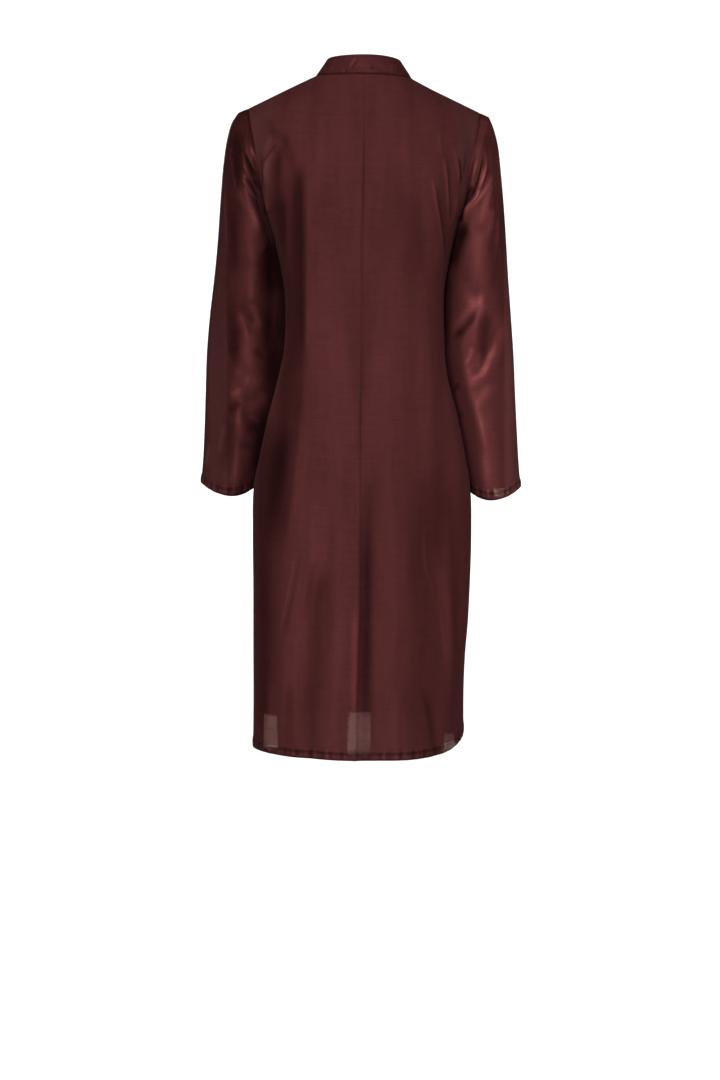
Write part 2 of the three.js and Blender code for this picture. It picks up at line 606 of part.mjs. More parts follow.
// The form of a sleeve, with no folds, drawn on the wearer's left. side: "left" or "right" in the table,
// turn: degrees from the outer side by the back, level: counted in sections from the armhole.
function sleeveForm(side, turn, level) {
  const [c, s] = [Math.cos(turn * RADIANS), Math.sin(turn * RADIANS)];
  const sectionPoint = (at) => {
    const read = (column) => along(SLEEVE_SECTIONS, column, at);
    const outer = vector(read((row) => row[side][0]), 0, read((row) => row.z[0]));
    const inner = vector(read((row) => row[side][1]), 0, read((row) => row.z[1]));
    const reach = s > 0 ? read((row) => row.back) : read((row) => row.front);
    const bow = CUFF_BOW * smooth((at - SLEEVE_SECTIONS.length + 4) / 3) * s * s;
    const point = outer.clone().add(inner).multiplyScalar(0.5);
    point.addScaledVector(outer.sub(inner), c / 2);
    point.y = read((row) => row.y) + s * reach;
    point.z -= bow;
    return point;
  };
  if (level >= 1) return sectionPoint(level - 1);
  return sleeveStart(turn, sectionPoint(0)).point.lerp(sectionPoint(0), level);
}

// Where the sleeve starts on the armhole, clear of the panel's edge however far it folds back over it, and the
// normal of its cloth there. next: the sleeve's point on its first section.
function sleeveStart(turn, next) {
  const degrees = ((turn % 360) + 360) % 360;
  const level = UNDERARM + Math.abs(180 - degrees) / 30;
  const edgeRound = degrees < 180 ? 1 - 1e-5 : 1 + 1e-5;
  const edge = armholePoint(turn);
  const tangent = armholePoint(turn + 1).sub(armholePoint(turn - 1)).normalize();
  const bodyOut = bodyNormal(edgeRound, level);
  const away = tangent.clone().cross(bodyOut).normalize();
  const within = bodyForm(degrees < 180 ? 0.95 : 1.05, Math.max(0, level - 0.2)).sub(edge);
  if (away.dot(within) > 0) away.negate();
  const heading = next.clone().sub(edge);
  const fold = Math.atan2(heading.dot(bodyOut), heading.dot(away));
  const [s, c] = [Math.sin(fold), Math.cos(fold)];
  const rise = (CLOTH + SEAM_GAP) * ((1 - c) / 2) + 0.4 * Math.max(0, s);
  const corner = (CLOTH / 2) * Math.abs(s) * Math.max(0, c);
  return {
    point: edge.addScaledVector(away, (SEAM_GAP * (1 + c)) / 2 + corner).addScaledVector(bodyOut, rise),
    normal: bodyOut.clone().multiplyScalar(c).addScaledVector(away, -s).normalize(),
  };
}

function sleeveNormal(side, turn, level) {
  const last = SLEEVE_SECTIONS.length;
  if (level === 0) return sleeveStart(turn, sleeveForm(side, turn, 1)).normal;
  const form = (a, b) => sleeveForm(side, a, b);
  const stepTurn = (value, way) => [value + way * 3];
  const stepLevel = (value, way) => [clamp(value + way * 0.08, 0, last)];
  const centre = form(0, level).add(form(180, level)).multiplyScalar(0.5);
  const outward = form(turn, level).sub(centre);
  return normalFrom(form, turn, level, stepTurn, stepLevel, outward);
}

function sleevePoint(side, turn, level, out, folds) {
  const form = sleeveForm(side, turn, level);
  const calm = smooth(level / 1.5);
  const height = foldHeight(folds, turn * RADIANS * FOLD_RADIUS, form.z, RADIANS * FOLD_RADIUS);
  const inside = smooth((Math.cos((turn - 180) * RADIANS) - 0.55) / 0.3); // flat where it lies on the body
  return form.addScaledVector(sleeveNormal(side, turn, level), height * calm * (1 - inside) + out);
}

function sleeve(name, side, folds) {
  const last = SLEEVE_SECTIONS.length;
  const lastSection = 45; // the height of the last section, which ends in the turned hem
  const hemLevel = last - HEM_TURN / lastSection;
  const raised = last - (HEM_TURN - STEP_RUN) / lastSection;
  const levels = [];
  for (let k = 0; k < SLEEVE_ROWS; k++) levels.push((k / SLEEVE_ROWS) * hemLevel);
  levels.push(hemLevel, raised, last);
  const rows = levels.map((level) => {
    const row = [];
    for (let c = 0; c < SLEEVE_COLUMNS; c++) {
      const turn = (c / SLEEVE_COLUMNS) * 360;
      const raise = level >= raised ? HEM_RAISE : 0;
      const outer = sleevePoint(side, turn, level, CLOTH / 2 + raise, folds);
      const inner = sleevePoint(side, turn, level, -CLOTH / 2, folds);
      for (const point of [outer, inner]) point.x *= side === "left" ? 1 : -1;
      row.push({ outer, inner });
    }
    return row;
  });
  return named(name, wall(rows, true), cloth());
}

// A lining panel inside the body's: half of the back, or of the front.
function liningPanel(name, isBack, way) {
  const levelAt = (z) => levelWhere(BODY_SECTIONS, (row) => row.z, z);
  const levels = [levelAt(LINING_BOTTOM)];
  for (let k = 2.4; k < SHOULDER - 0.3; k += k < UNDERARM - 1 ? 1.4 : 1) levels.push(k);
  levels.push(SHOULDER - 0.01);
  const closest = (CLOTH + LINING_CLOTH) / 2 + SEAM_GAP * 1.5;
  const rows = levels.map((level) => {
    const yoke = clamp((level - UNDERARM + 0.6) / (SHOULDER - UNDERARM), 0, 1);
    const reach = mix(1, LINING_SHOULDER_SHARE, smooth(yoke * 1.6));
    const ease = LINING_EASE * (1 - smooth((level - SHOULDER + 3) / 3));
    const middle = isBack ? gapShare(0.05, level) : 2 - Math.abs(frontRound(level, LINING_FRONT_EDGE));
    const row = [];
    for (let c = 0; c <= LINING_COLUMNS; c++) {
      const even = c / LINING_COLUMNS;
      const beyond = Math.max(0, even - NECK_SHARE) * (1 - (reach - NECK_SHARE) / (1 - NECK_SHARE));
      const share = Math.max(middle, Math.min(even - beyond, 1 - sideGap(0.99, level)));
      const round = way * (isBack ? share : 2 - share);
      row.push({
        outer: bodyPoint(round, level, -closest - ease + LINING_CLOTH / 2, LINING_FOLD_SHARE),
        inner: bodyPoint(round, level, -closest - ease - LINING_CLOTH / 2, LINING_FOLD_SHARE),
      });
    }
    return row;
  });
  return named(name, wall(rows, false), liningCloth());
}

const dress = new THREE.Group();
dress.add(backPanel("back_left", 1), backPanel("back_right", -1));
dress.add(frontPanel("front_left", 1), frontPanel("front_right", -1));
dress.add(sleeve("sleeve_left", "left", LEFT_SLEEVE_FOLDS), sleeve("sleeve_right", "right", RIGHT_SLEEVE_FOLDS));
dress.add(collar(), placket());
for (let number = 0; number < BUTTON.count; number++) dress.add(button(number));
dress.add(liningPanel("lining_back_left", true, 1), liningPanel("lining_back_right", true, -1));
dress.add(liningPanel("lining_front_left", false, 1), liningPanel("lining_front_right", false, -1));

export default dress;
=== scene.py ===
"""A long-sleeved shirt dress in thin silky cloth, filled out as it is when worn, over its fixed frame.

Tables are in millimetres, as the dress was measured. Blender's own sizes are in metres.
Left and right are the wearer's: +X is the left side, and the front faces -Y.
"""

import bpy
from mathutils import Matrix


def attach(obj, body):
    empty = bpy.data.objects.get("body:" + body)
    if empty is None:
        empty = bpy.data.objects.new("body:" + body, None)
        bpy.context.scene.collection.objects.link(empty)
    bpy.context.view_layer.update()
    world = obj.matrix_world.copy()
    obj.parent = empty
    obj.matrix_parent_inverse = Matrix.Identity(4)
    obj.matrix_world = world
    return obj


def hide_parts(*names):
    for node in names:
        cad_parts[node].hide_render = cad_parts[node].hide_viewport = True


bl_info = {
    "name": "Shirt Dress",
    "version": (1, 0, 0),
    "blender": (4, 5, 0),
    "location": "3D Viewport > Sidebar > Shirt Dress",
    "description": "Builds the cloth, sewing, buttons and studio stage of a silky shirt dress",
    "category": "Add Mesh",
}

import bpy
import numpy as np
from bpy.props import FloatProperty, FloatVectorProperty, PointerProperty
from mathutils import Vector

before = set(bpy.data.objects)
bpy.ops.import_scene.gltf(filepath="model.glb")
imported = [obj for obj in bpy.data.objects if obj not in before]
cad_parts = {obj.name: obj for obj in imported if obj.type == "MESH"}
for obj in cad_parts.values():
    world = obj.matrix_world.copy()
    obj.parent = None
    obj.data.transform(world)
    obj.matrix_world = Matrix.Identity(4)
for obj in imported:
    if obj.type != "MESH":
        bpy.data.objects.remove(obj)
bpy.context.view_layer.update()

MM = 0.001
UV_PER_METRE = 0.8
PANELS = [(face, side) for face in ("back", "front") for side in ("left", "right")]
BODY_STEPS = {"back": (121, 331), "front": (73, 211)}  # points across and up
SLEEVE_STEPS = (176, 252)  # points round and down
LINING_STEPS = (33, 121)
PLACKET_STEPS = (17, 361)
COLLAR_STEPS = (361, 25)


def table(columns, *rows):
    """The rows as one array for each named column."""
    return {name: np.array(values, float) for name, values in zip(columns.split(), zip(*rows))}


# Neck, shoulders and collar
NECK_HALF_WIDTH = 76
NECK = {"back": (58, -8), "front": (-68, -70)}  # y and z of the neck line's middle
COLLAR_TOP_HALF_WIDTH = 58
COLLAR_TOP = {"back": (49, 25), "front": (-63, -41)}
COLLAR_TOP_SIDE_Z = 26
COLLAR_LIFT = 0.1
COLLAR_NOTCH = 9
SHOULDER_NECK = (76, -3, 0)
SHOULDER_TIP = (185, -3, -53)
SHOULDER_CROWN = 0.5
SHOULDER_FULLNESS = {"back": 11, "front": 7}
NECK_SHARE = 0.5  # how much of a panel's upper edge is neck line, and the rest is shoulder line
DROOP_FROM, DROOP_OVER, DROOP = 10, 110, 7  # the right shoulder is lower by the last, from and over these x

# The armhole's middle, and its top, back, lowest and front points
ARMHOLE = np.array([(164, 0, -145), SHOULDER_TIP, (167, 62, -150), (153, 2, -225), (160, -60, -150)], float)

# The body below the armholes, from the hem up
BODY = table(
    "z left right side back front seam",
    (-1086, 177, 157, 12, 120, -113, 11),
    (-1010, 177, 157.5, 12, 121, -113, 10),
    (-940, 177, 160, 12, 123, -113, 8.5),
    (-870, 177, 165, 12, 125, -113, 6),
    (-800, 177, 168.5, 12, 127, -113, 5),
    (-730, 177, 170.5, 12, 128, -112, 5),
    (-660, 176, 169.5, 12, 127, -110, 5),
    (-605, 165.5, 159.5, 13, 123, -108, 4.7),
    (-550, 153.5, 148.5, 15, 116, -105, 4.5),
    (-495, 139, 137, 17, 108, -103, 4),
    (-445, 129, 129.5, 18, 102, -103, 4),
    (-395, 126.5, 127, 18, 99.5, -106, 4),
    (-345, 128, 127, 17, 104, -112, 4),
    (-300, 134, 133, 15, 109, -117, 4),
    (-262, 142, 141.5, 10, 113, -119, 3),
    (-225, 153, 153, 2, 115.5, -117, 0),
)
# The yoke above the underarm, up to the neck and shoulder seams
YOKE = table(
    "turn arc back_z back front_z front",
    (180, 90, -225, 115.5, -225, -117),
    (150, 86, -198, 117, -206, -114),
    (120, 78, -168, 116.5, -184, -110),
    (90, 69, -134, 112, -159, -104),
    (60, 62, -96, 101, -131, -95),
    (30, 57, -53, 82, -101, -83),
    (0, 54, -8, 58, -70, -68),
)
UNDERARM = len(BODY["z"]) - 1
SHOULDER = UNDERARM + len(YOKE["turn"]) - 1
SQUARENESS = 2.35
HEM_RISE = {"left": (17, 1.2), "right": (50, 1.85)}  # how far the hem rises at each side, and how late
HEM_RISE_FADE = 300

# The sleeves from cap to cuff: heights and reaches of the outer side and of the side next to the body
SLEEVE = table(
    "z_out z_in left_out left_in right_out right_in y back front",
    (-61, -231, 200.5, 155.6, 199, 155.6, 0, 64, 62),
    (-79, -236, 211.5, 154.2, 206.5, 154.2, -1, 64, 62),
    (-108, -243, 219.5, 150.8, 214, 150.8, -3, 63, 61),
    (-150, -254, 225.5, 146.8, 219, 146.8, -7, 61, 60),
    (-200, -270, 229.5, 142.6, 223.5, 142.6, -13, 58, 58),
    (-255, -298, 233.5, 136, 227.5, 135.5, -20, 55, 55),
    (-315, -338, 239.5, 128.5, 231.5, 128.5, -26, 53, 53),
    (-380, -392, 247.5, 125.5, 236.5, 125.5, -30, 51, 51),
    (-440, -448, 252.5, 127, 240.5, 127, -32, 49, 49),
    (-500, -508, 254.5, 140, 243, 137, -33, 46, 46),
    (-555, -563, 256, 153.5, 245.5, 149, -34, 44, 43),
    (-605, -612, 258, 164.5, 248, 158.5, -35, 42, 41),
    (-650, -653, 261.5, 173, 251.5, 167, -36, 41, 39),
)
CUFF = len(SLEEVE["y"])
# Under the arm each sleeve lies against the body's side, down to a height where it hangs free.
SLEEVE_BESIDE = 1.1
UNDERARM_Z, SLEEVE_FREE_Z = -225, -430
CUFF_BOW = 20
# Painted shading of each whole sleeve: painted shade on the left one and painted light on the right one.
SLEEVE_PAINTED_SHADING = {"left": -0.5, "right": 0.38}  # the left one lies more in the shade
SLEEVE_CLEAR = {"left": 219, "right": 224}  # further out than this the cloth hangs clear of the arm
FOLD_RADIUS = 52

# The large soft folds, as in the solids or a little softer. Places are x and z on the body, and degrees round
# and z on a sleeve.
FOLD_COLUMNS = "from_a from_z to_a to_z bow width height"
BACK_FOLDS = table(
    FOLD_COLUMNS,
    (96, -140, 88, -500, -9, 17, 3.5),
    (122, -150, 112, -500, -5, 19, -5),
    (90, -500, 128, -790, -4, 17, 3),
    (112, -500, 146, -760, -4, 17, -3.5),
    (-106, -140, -122, -320, 0, 13, 3.5),
    (-82, -150, -94, -360, 0, 16, -3),
    (-36, -560, -44, -1140, 0, 22, 4),
    (-82, -640, -88, -1140, 0, 19, -4.5),
    (-122, -760, -124, -1120, 0, 17, 3),
    (-140, -480, -160, -660, 0, 14, 2.5),
    (42, -720, 44, -1150, 0, 17, 3),
    (66, -740, 84, -1150, 4, 17, -4.5),
    (110, -860, 118, -1150, 0, 17, 3),
)
FRONT_FOLDS = table(
    FOLD_COLUMNS,
    (88, -250, 80, -560, 6, 18, 4),
    (112, -260, 106, -520, 4, 16, -4),
    (-84, -240, -92, -600, -6, 18, 4),
    (-112, -270, -118, -560, 0, 15, -4),
    (44, -620, 52, -1130, 0, 18, 4.5),
    (84, -660, 92, -1130, 0, 16, -4.5),
    (122, -700, 134, -1130, 0, 14, 4),
    (-52, -600, -48, -1130, 0, 19, 4),
    (-92, -700, -84, -1130, 0, 15, -5),
    (-126, -660, -128, -1130, 0, 15, 4),
)
LEFT_SLEEVE_FOLDS = table(
    FOLD_COLUMNS,
    (70, -110, 150, -250, 0, 9, -4.5),
    (55, -130, 130, -262, 0, 9, 4),
    (110, -95, 158, -235, 0, 8, 4),
    (105, -270, 96, -400, 0, 13, 3),
    (40, -420, 120, -500, 0, 9, -1.2),
    (86, -500, 98, -670, 4, 12, 3.5),
    (140, -290, 124, -450, 0, 11, -4),
    (230, -120, 200, -260, 0, 10, 4),
    (300, -150, 215, -290, 0, 10, -4),
    (215, -380, 300, -440, 0, 9, 4),
    (210, -430, 310, -500, 0, 9, -4.5),
    (290, -470, 250, -640, 0, 12, 3.5),
)
RIGHT_SLEEVE_FOLDS = table(
    FOLD_COLUMNS,
    (88, -108, 150, -236, 8, 8, -5),
    (72, -120, 140, -252, 8, 8, 4.5),
    (58, -170, 94, -340, 0, 12, 3),
    (128, -300, 66, -400, 0, 10, -1),
    (60, -330, 132, -450, 0, 11, 4),
    (120, -420, 84, -620, 6, 13, 3.5),
    (40, -380, 100, -480, 0, 9, -4),
    (232, -120, 205, -260, 0, 10, 4),
    (296, -160, 218, -300, 0, 10, -4),
    (220, -370, 305, -450, 0, 9, 4),
    (212, -440, 300, -510, 0, 9, -4.5),
    (285, -480, 245, -640, 0, 12, 3.5),
)
FOLDS = {"back": BACK_FOLDS, "front": FRONT_FOLDS, "left": LEFT_SLEEVE_FOLDS, "right": RIGHT_SLEEVE_FOLDS}

# The left back folds over the right one at the centre seam, more towards the hem.
SEAM_TOP, SEAM_WIDTH, SEAM_LEFT, SEAM_RIGHT, SEAM_RIGHT_CENTRE = -560, 10, 2.2, -2.6, -9
SEAM_UNDERLAP = 5  # how far the right back runs on under the left one
SEAM_GROOVE = 0.45
SEAM_ALLOWANCE_LEVEL = 0.05  # how far a sleeve's seam allowance reaches under the panel, in sections
# How dark the painted shade along the centre-back seam is, down its length
BACK_LINE = table(
    "z dark",
    (-1086, 1.0), (-960, 1.0), (-760, 0.8), (-640, 0.5), (-575, 1.0), (-500, 0.9), (-430, 0.3),
    (-350, 0.35), (-262, 1.0), (-160, 1.0), (-110, 0.5), (-40, 0.25), (0, 0.2),
)
CLOTH_OUT = 0.5  # from the smooth form to the middle of the cloth

# Finer creases, placed one by one. Each runs from one place by a second to a third. A place is how far out it
# is seen from behind or in front, and z. Lean makes the side towards larger a the softer one. The last column
# is
# painted shading: painted shade that darkens the cloth where it is negative, and a painted highlight that
# lifts it where it is positive.
CREASE_STEPS = 24  # straight parts of each crease's path
CREASE_COLUMNS = "a0 z0 a1 z1 a2 z2 width height lean tone"
BACK_CREASES = table(
    CREASE_COLUMNS,
    (134, -119, 146, -134, 159, -152, 2, -1.8, 0, -1.3),
    (143, -99, 151, -119, 159, -141, 4, 1.6, 0, 0.25),
    (134, -124, 151, -145, 156, -195, 4, 2.2, 0, 0.5),
    (154, -189, 151, -232, 139, -274, 3, 1.8, 0, 0.7),
    (162, -134, 160, -164, 160, -198, 2, -1.6, 0, -1),
    (129, -120, 139, -186, 132, -292, 7, -2.2, 0, -1),
    (120, -183, 122, -253, 125, -385, 6, 1.8, 0, 0.45),
    (101, -152, 100, -276, 101, -600, 11, -2.6, 0.35, -1.3),
    (122, -170, 120, -300, 118, -520, 14, 0, 0, -0.6),
    (129, -102, 120, -131, 108, -176, 7, -1.2, 0, -0.6),
    (150, -74, 145, -97, 136, -119, 7, 0, 0, -0.5),
    (130, -190, 130, -290, 130, -450, 9, -1.8, 0, -0.6),
    (86, -170, 86, -300, 90, -520, 5, 1.6, -0.5, 0.25),
    (100, -470, 110, -600, 132, -800, 11, -2.2, 0.4, -0.6),
    (-148, -134, -152, -156, -152, -183, 2.2, -1.8, 0, -1.4),
    (-123, -133, -129, -176, -134, -242, 2.8, 2, 0, 0.6),
    (-131, -133, -135, -183, -138, -242, 4, -1.6, 0, -0.5),
    (-103, -167, -113, -217, -126, -301, 2.8, 2, 0, 0.6),
    (-109, -176, -120, -232, -131, -316, 5, -1.8, 0, -0.6),
    (-115, -92, -118, -114, -120, -139, 2.4, 0.8, 0, 0.3),
    (-137, -117, -146, -148, -149, -176, 2.4, 1, 0, 0.4),
    (-159, -117, -160, -139, -155, -164, 2.2, -1, 0, -0.4),
    (-146, -189, -143, -217, -134, -245, 3.4, 1, 0, 0.4),
    (-88, -190, -93, -260, -99, -360, 8, -1.4, 0, -0.25),
    (123, -556, 139, -649, 151, -751, 12, -1.6, 0, -0.8),
    (152, -540, 157, -760, 163, -1300, 22, -1, 0, -1.1),
    (112, -400, 128, -560, 146, -700, 15, -0.6, 0, -0.8),
    (72, -634, 81, -836, 66, -1250, 26, 1.2, 0, 0.3),
    (-6, -634, -4, -836, 0, -1250, 8, -1.4, 0, -0.7),
    (-37, -600, -40, -898, -43, -1250, 12, 1, 0, 0.3),
    (-92, -560, -94, -836, -98, -1250, 24, -1, -0.3, -0.6),
    (-106, -740, -128, -850, -132, -1000, 9, 1, 0, 0.4),
    (56, -780, 78, -900, 82, -1200, 13, -2.4, 0, -0.75),
    (112, -960, 116, -1020, 114, -1120, 7, -1.2, 0, -0.5),
    (106, -750, 118, -822, 136, -906, 2.6, 1.2, 0, 0.25),
    (100, -760, 112, -830, 129, -905, 3, -1.2, 0, -0.35),
    (70, -760, 84, -815, 92, -880, 4, -1.2, 0, -0.4),
    (-100, -700, -95, -764, -118, -840, 3, 1.8, 0, 0.35),
    (-116, -834, -122, -880, -128, -940, 3, 1.5, 0, 0.3),
    (-90, -960, -106, -1024, -114, -1120, 5, -2, 0, -0.5),
    (13, -830, 15, -920, 17, -1040, 4.5, 0.4, 0, 0.7),
    (-4, -700, -4, -868, 0, -1060, 9, -0.6, 0, -0.7),
    (-134, -640, -144, -800, -146, -1160, 8, -1.6, 0, -0.3),
    (40, -560, 38, -760, 42, -1200, 10, 1.2, 0, 0.2),
    (146, -960, 148, -1020, 146, -1120, 5, 1.4, 0, 0.2),
)
FRONT_CREASES = table(
    CREASE_COLUMNS,
    (152, -110, 146, -150, 130, -220, 5, 1.8, 0.3, 0.4),
    (160, -140, 150, -180, 138, -240, 4, -1.6, 0, -0.6),
    (-150, -112, -142, -160, -126, -225, 5, 1.8, 0.3, 0.4),
    (-158, -150, -148, -190, -136, -250, 4, -1.6, 0, -0.6),
    (60, -200, 72, -320, 64, -460, 9, 1.4, 0, 0.3),
    (96, -260, 98, -380, 92, -520, 7, -1.4, 0, -0.5),
    (-62, -230, -70, -340, -60, -480, 9, 1.2, 0, 0.3),
    (-98, -280, -104, -400, -96, -540, 7, -1.4, 0, -0.5),
    (30, -560, 36, -760, 34, -1070, 10, -1.2, 0, -0.4),
    (70, -600, 68, -820, 70, -1075, 9, 1.2, 0, 0.3),
    (-34, -540, -38, -780, -36, -1075, 10, -1.2, 0, -0.4),
    (-72, -640, -66, -840, -70, -1075, 8, 1.2, 0, 0.3),
    (136, -560, 150, -700, 156, -900, 6, 1.2, 0.3, 0.3),
    (-128, -600, -142, -740, -146, -920, 6, 1.2, -0.3, 0.3),
    (108, -880, 112, -980, 110, -1076, 6, 1, 0, 0.2),
    (-106, -900, -110, -990, -106, -1076, 6, 1, 0, 0.2),
)
LEFT_SLEEVE_CREASES = table(
    CREASE_COLUMNS,
    (192, -125, 181, -150, 165, -177, 2.4, -2.4, 0.3, -1.6),
    (193, -141, 182, -165, 166, -188, 4, 2.2, 0, 0.3),
    (192, -166, 181, -188, 162, -212, 2, 1.8, 0, 0.7),
    (185, -169, 174, -188, 158, -207, 1.8, -1.6, 0, -1.1),
    (174, -171, 168, -182, 160, -195, 3.2, -1.6, 0, -1.3),
    (212, -109, 209, -150, 201, -195, 2, 1.4, 0.3, 0.45),
    (200, -87, 201, -138, 190, -188, 10, -2.2, 0, -0.9),
    (203, -182, 184, -214, 162, -264, 8, 2.4, 0, 0.9),
    (179, -212, 181, -261, 180, -318, 14, 1.1, 0, 0.65),
    (220, -166, 220, -228, 215, -312, 2.3, 0.8, 0, 0.56),
    (208, -207, 208, -268, 206, -328, 8.4, -1.2, 0, -0.55),
    (158, -274, 147, -296, 151, -369, 14.4, -2, 0, -1.54),
    (187, -223, 182, -234, 176, -244, 4.3, -0.8, 0, -0.33),
    (180, -300, 183, -334, 177, -372, 14, 1, 0, 0.65),
    (205, -377, 191, -403, 182, -430, 6.5, 1.3, 0.2, 0.45),
    (181, -366, 170, -388, 161, -413, 7, 1.4, 0, 0.65),
    (184, -377, 179, -391, 174, -402, 3.4, -0.8, 0, -0.35),
    (206, -397, 204, -425, 205, -455, 9, -0.6, 0, -0.5),
    (180, -408, 184, -440, 181, -488, 12.5, 1.1, 0, 0.66),
    (173, -434, 167, -446, 155, -452, 6, -0.9, 0, -0.75),
    (192, -488, 177, -492, 160, -501, 15, 1, 0, 0.56),
    (219, -516, 206, -511, 190, -507, 6, 0.8, 0, 0.4),
    (220, -531, 208, -532, 192, -524, 8, -1.2, 0, -1),
    (157, -502, 167, -522, 193, -540, 9, 1.1, 0, 0.66),
    (203, -540, 194, -569, 187, -596, 10, 1.1, 0, 0.66),
    (186, -556, 176, -564, 165, -560, 8, -0.9, 0, -0.7),
    (189, -542, 176, -548, 165, -556, 4.2, 0.7, 0, 0.45),
    (186, -590, 196, -619, 211, -672, 12, 1.1, 0, 0.85),
    (155, -363, 146, -434, 152, -524, 12, -1.5, 0, -1.1),
    (160, -527, 166, -584, 179, -645, 8.4, -1.4, 0, -1.1),
    (210, -337, 210, -426, 211, -493, 8.7, -1, 0, -0.8),
    (217, -537, 219, -584, 227, -641, 8.7, -0.8, 0, -0.44),
    (223, -550, 228, -581, 234, -611, 3.8, 1.2, 0, 0.56),
    (246, -584, 250, -608, 254, -630, 2.9, 1, 0, 0.72),
    (142, -300, 136, -370, 138, -450, 9, 0, 0, -0.7),
)
RIGHT_SLEEVE_CREASES = table(
    CREASE_COLUMNS,
    (174, -179, 165, -188, 154, -211, 5, -3, 0, -2),
    (188, -122, 177, -179, 152, -217, 2.2, -2.2, 0, -1.7),
    (193, -122, 184, -179, 155, -222, 2.2, 2.4, 0, 1.3),
    (203, -154, 190, -185, 162, -220, 3, 1.9, 0, 0.9),
    (198, -141, 188, -173, 171, -198, 2.4, -1.6, 0, -0.7),
    (171, -192, 169, -209, 155, -228, 4, 1, 0, 0.5),
    (204, -158, 193, -198, 181, -249, 6, 2, 0, 1),
    (201, -207, 200, -230, 190, -264, 7.2, 1.2, 0, 0.64),
    (187, -242, 181, -283, 185, -353, 13.2, 1.5, 0, 0.56),
    (169, -238, 146, -261, 138, -315, 10.8, -2.5, 0, -1.98),
    (136, -302, 131, -363, 130, -445, 7.2, -1.7, 0, -1.43),
    (207, -252, 209, -299, 203, -350, 5.8, -1, 0, -0.55),
    (214, -211, 212, -260, 207, -306, 2.6, 0.8, 0, 0.48),
    (212, -122, 215, -157, 219, -207, 2.2, 0.9, 0, 0.4),
    (196, -353, 165, -372, 133, -415, 8, 1.4, 0, 0.55),
    (196, -356, 181, -391, 171, -439, 5.2, 1.4, 0, 0.6),
    (173, -426, 169, -445, 155, -461, 4.6, 1.4, 0, 0.64),
    (181, -369, 162, -394, 147, -412, 5.8, -1.5, 0, -0.77),
    (198, -369, 192, -410, 190, -464, 8.7, -1.6, 0, -0.99),
    (214, -363, 214, -418, 196, -462, 9.5, 1.1, 0, 0.45),
    (203, -453, 187, -475, 163, -493, 7, 1, 0, 0.5),
    (212, -483, 193, -507, 174, -542, 8, 1, 0, 0.45),
    (181, -436, 184, -447, 173, -469, 5.8, 1, 0, 0.4),
    (190, -518, 192, -584, 203, -672, 13.2, 1.3, 0, 0.64),
    (157, -399, 150, -407, 144, -416, 4.3, -0.9, 0, -0.77),
    (155, -486, 147, -493, 141, -502, 4.3, -0.9, 0, -0.88),
    (138, -496, 147, -569, 162, -646, 7.2, -1.4, 0, -1.43),
    (154, -578, 162, -626, 176, -667, 2.3, 0.8, 0, 0.72),
    (160, -531, 155, -537, 150, -545, 4.3, -0.8, 0, -0.55),
    (174, -103, 173, -135, 168, -169, 5, 0.8, 0, 0.25),
    (192, -87, 195, -109, 192, -128, 8, -0.8, 0, -0.35),
)
SLEEVE_FRONT_CREASES = table(
    CREASE_COLUMNS,
    (174, -150, 162, -200, 143, -260, 5, 1.8, 0, 0.5),
    (200, -100, 206, -150, 204, -210, 4, 1.5, 0, 0.4),
    (184, -128, 172, -176, 158, -214, 3, -1.8, 0, -0.8),
    (214, -230, 206, -300, 212, -370, 6, -1.5, 0, -0.4),
    (180, -240, 178, -290, 182, -340, 8, 1.6, 0, 0.5),
    (165, -350, 180, -384, 200, -402, 4, 1.8, 0, 0.6),
    (196, -360, 168, -400, 142, -430, 4, 1.8, 0, 0.5),
    (209, -420, 180, -448, 150, -480, 4, -1.6, 0, -0.5),
    (168, -470, 186, -490, 214, -500, 5, 1.7, 0, 0.6),
    (227, -520, 213, -560, 216, -640, 6, 1.4, 0, 0.3),
    (185, -560, 196, -600, 204, -668, 6, 1.5, 0, 0.5),
)
CREASES = {
    "back": BACK_CREASES, "front": FRONT_CREASES, "left": LEFT_SLEEVE_CREASES, "right": RIGHT_SLEEVE_CREASES,
}
RIGHT_FRONT_SHIFT = 24  # how much lower the right sleeve's front creases are than the left one's

# Small creases in the collar, by distance round it from the centre back towards the left and by height
COLLAR_CREASES = table(
    CREASE_COLUMNS,
    (31, 2, 29, 7, 30, 13, 1.6, -0.7, 0, -0.5),
    (34, 2, 33, 6, 34, 11, 1.4, 0.5, 0, 0.4),
    (10, 27, 15, 18, 21, 9, 2, -0.8, 0, -0.7),
    (13, 29, 18, 20, 24, 11, 2.4, 0.6, 0, 0.6),
    (-12, 15, -14, 11, -13, 7, 1.8, -0.8, 0, -0.8),
    (-44, 4, -46, 12, -45, 20, 3, 0.6, 0, 0.3),
    (-58, 3, -60, 11, -62, 20, 3, -0.6, 0, -0.4),
    (52, 4, 54, 12, 53, 22, 3, 0.5, 0, 0.3),
    (64, 6, 66, 14, 70, 22, 3, -0.6, 0, -0.4),
    (-100, 4, -103, 14, -101, 24, 4, 0.5, 0, 0.2),
    (104, 4, 102, 14, 106, 24, 4, -0.5, 0, -0.3),
)

# The lining hangs inside the body, shorter than it and with its armholes cut further in.
LINING_BOTTOM = -1012
LINING_INSIDE = 8.2  # how far inside the form it hangs
LINING_CLOSE = 2.2  # and how far at the shoulders
LINING_SHOULDER_SHARE = 0.75
LINING_FRONT_EDGE = 19

PLACKET_HALF_WIDTH, PLACKET_OUT = 15, 1.5
BUTTON_FIRST_Z, BUTTON_SPACING, BUTTON_COUNT = -104, 92, 9
BUTTON_SEAT, BUTTON_LIFT = 2.6, 1.4  # from the form to the seat, and from the seat to the button's middle
HEM_STITCHES = 2.2  # how far the stitches are below a turned hem's upper edge
COLLAR_STITCHES, PLACKET_STITCHES = 3.2, 2.5  # how far the stitches are inside the edges of each band
STITCH_PITCH = 1.25  # from one stitch to the next, in stitch lengths
LINING_LAYERS, PLACKET_LAYERS = 0.7, 2.2  # their thickness, in layers of the outer cloth
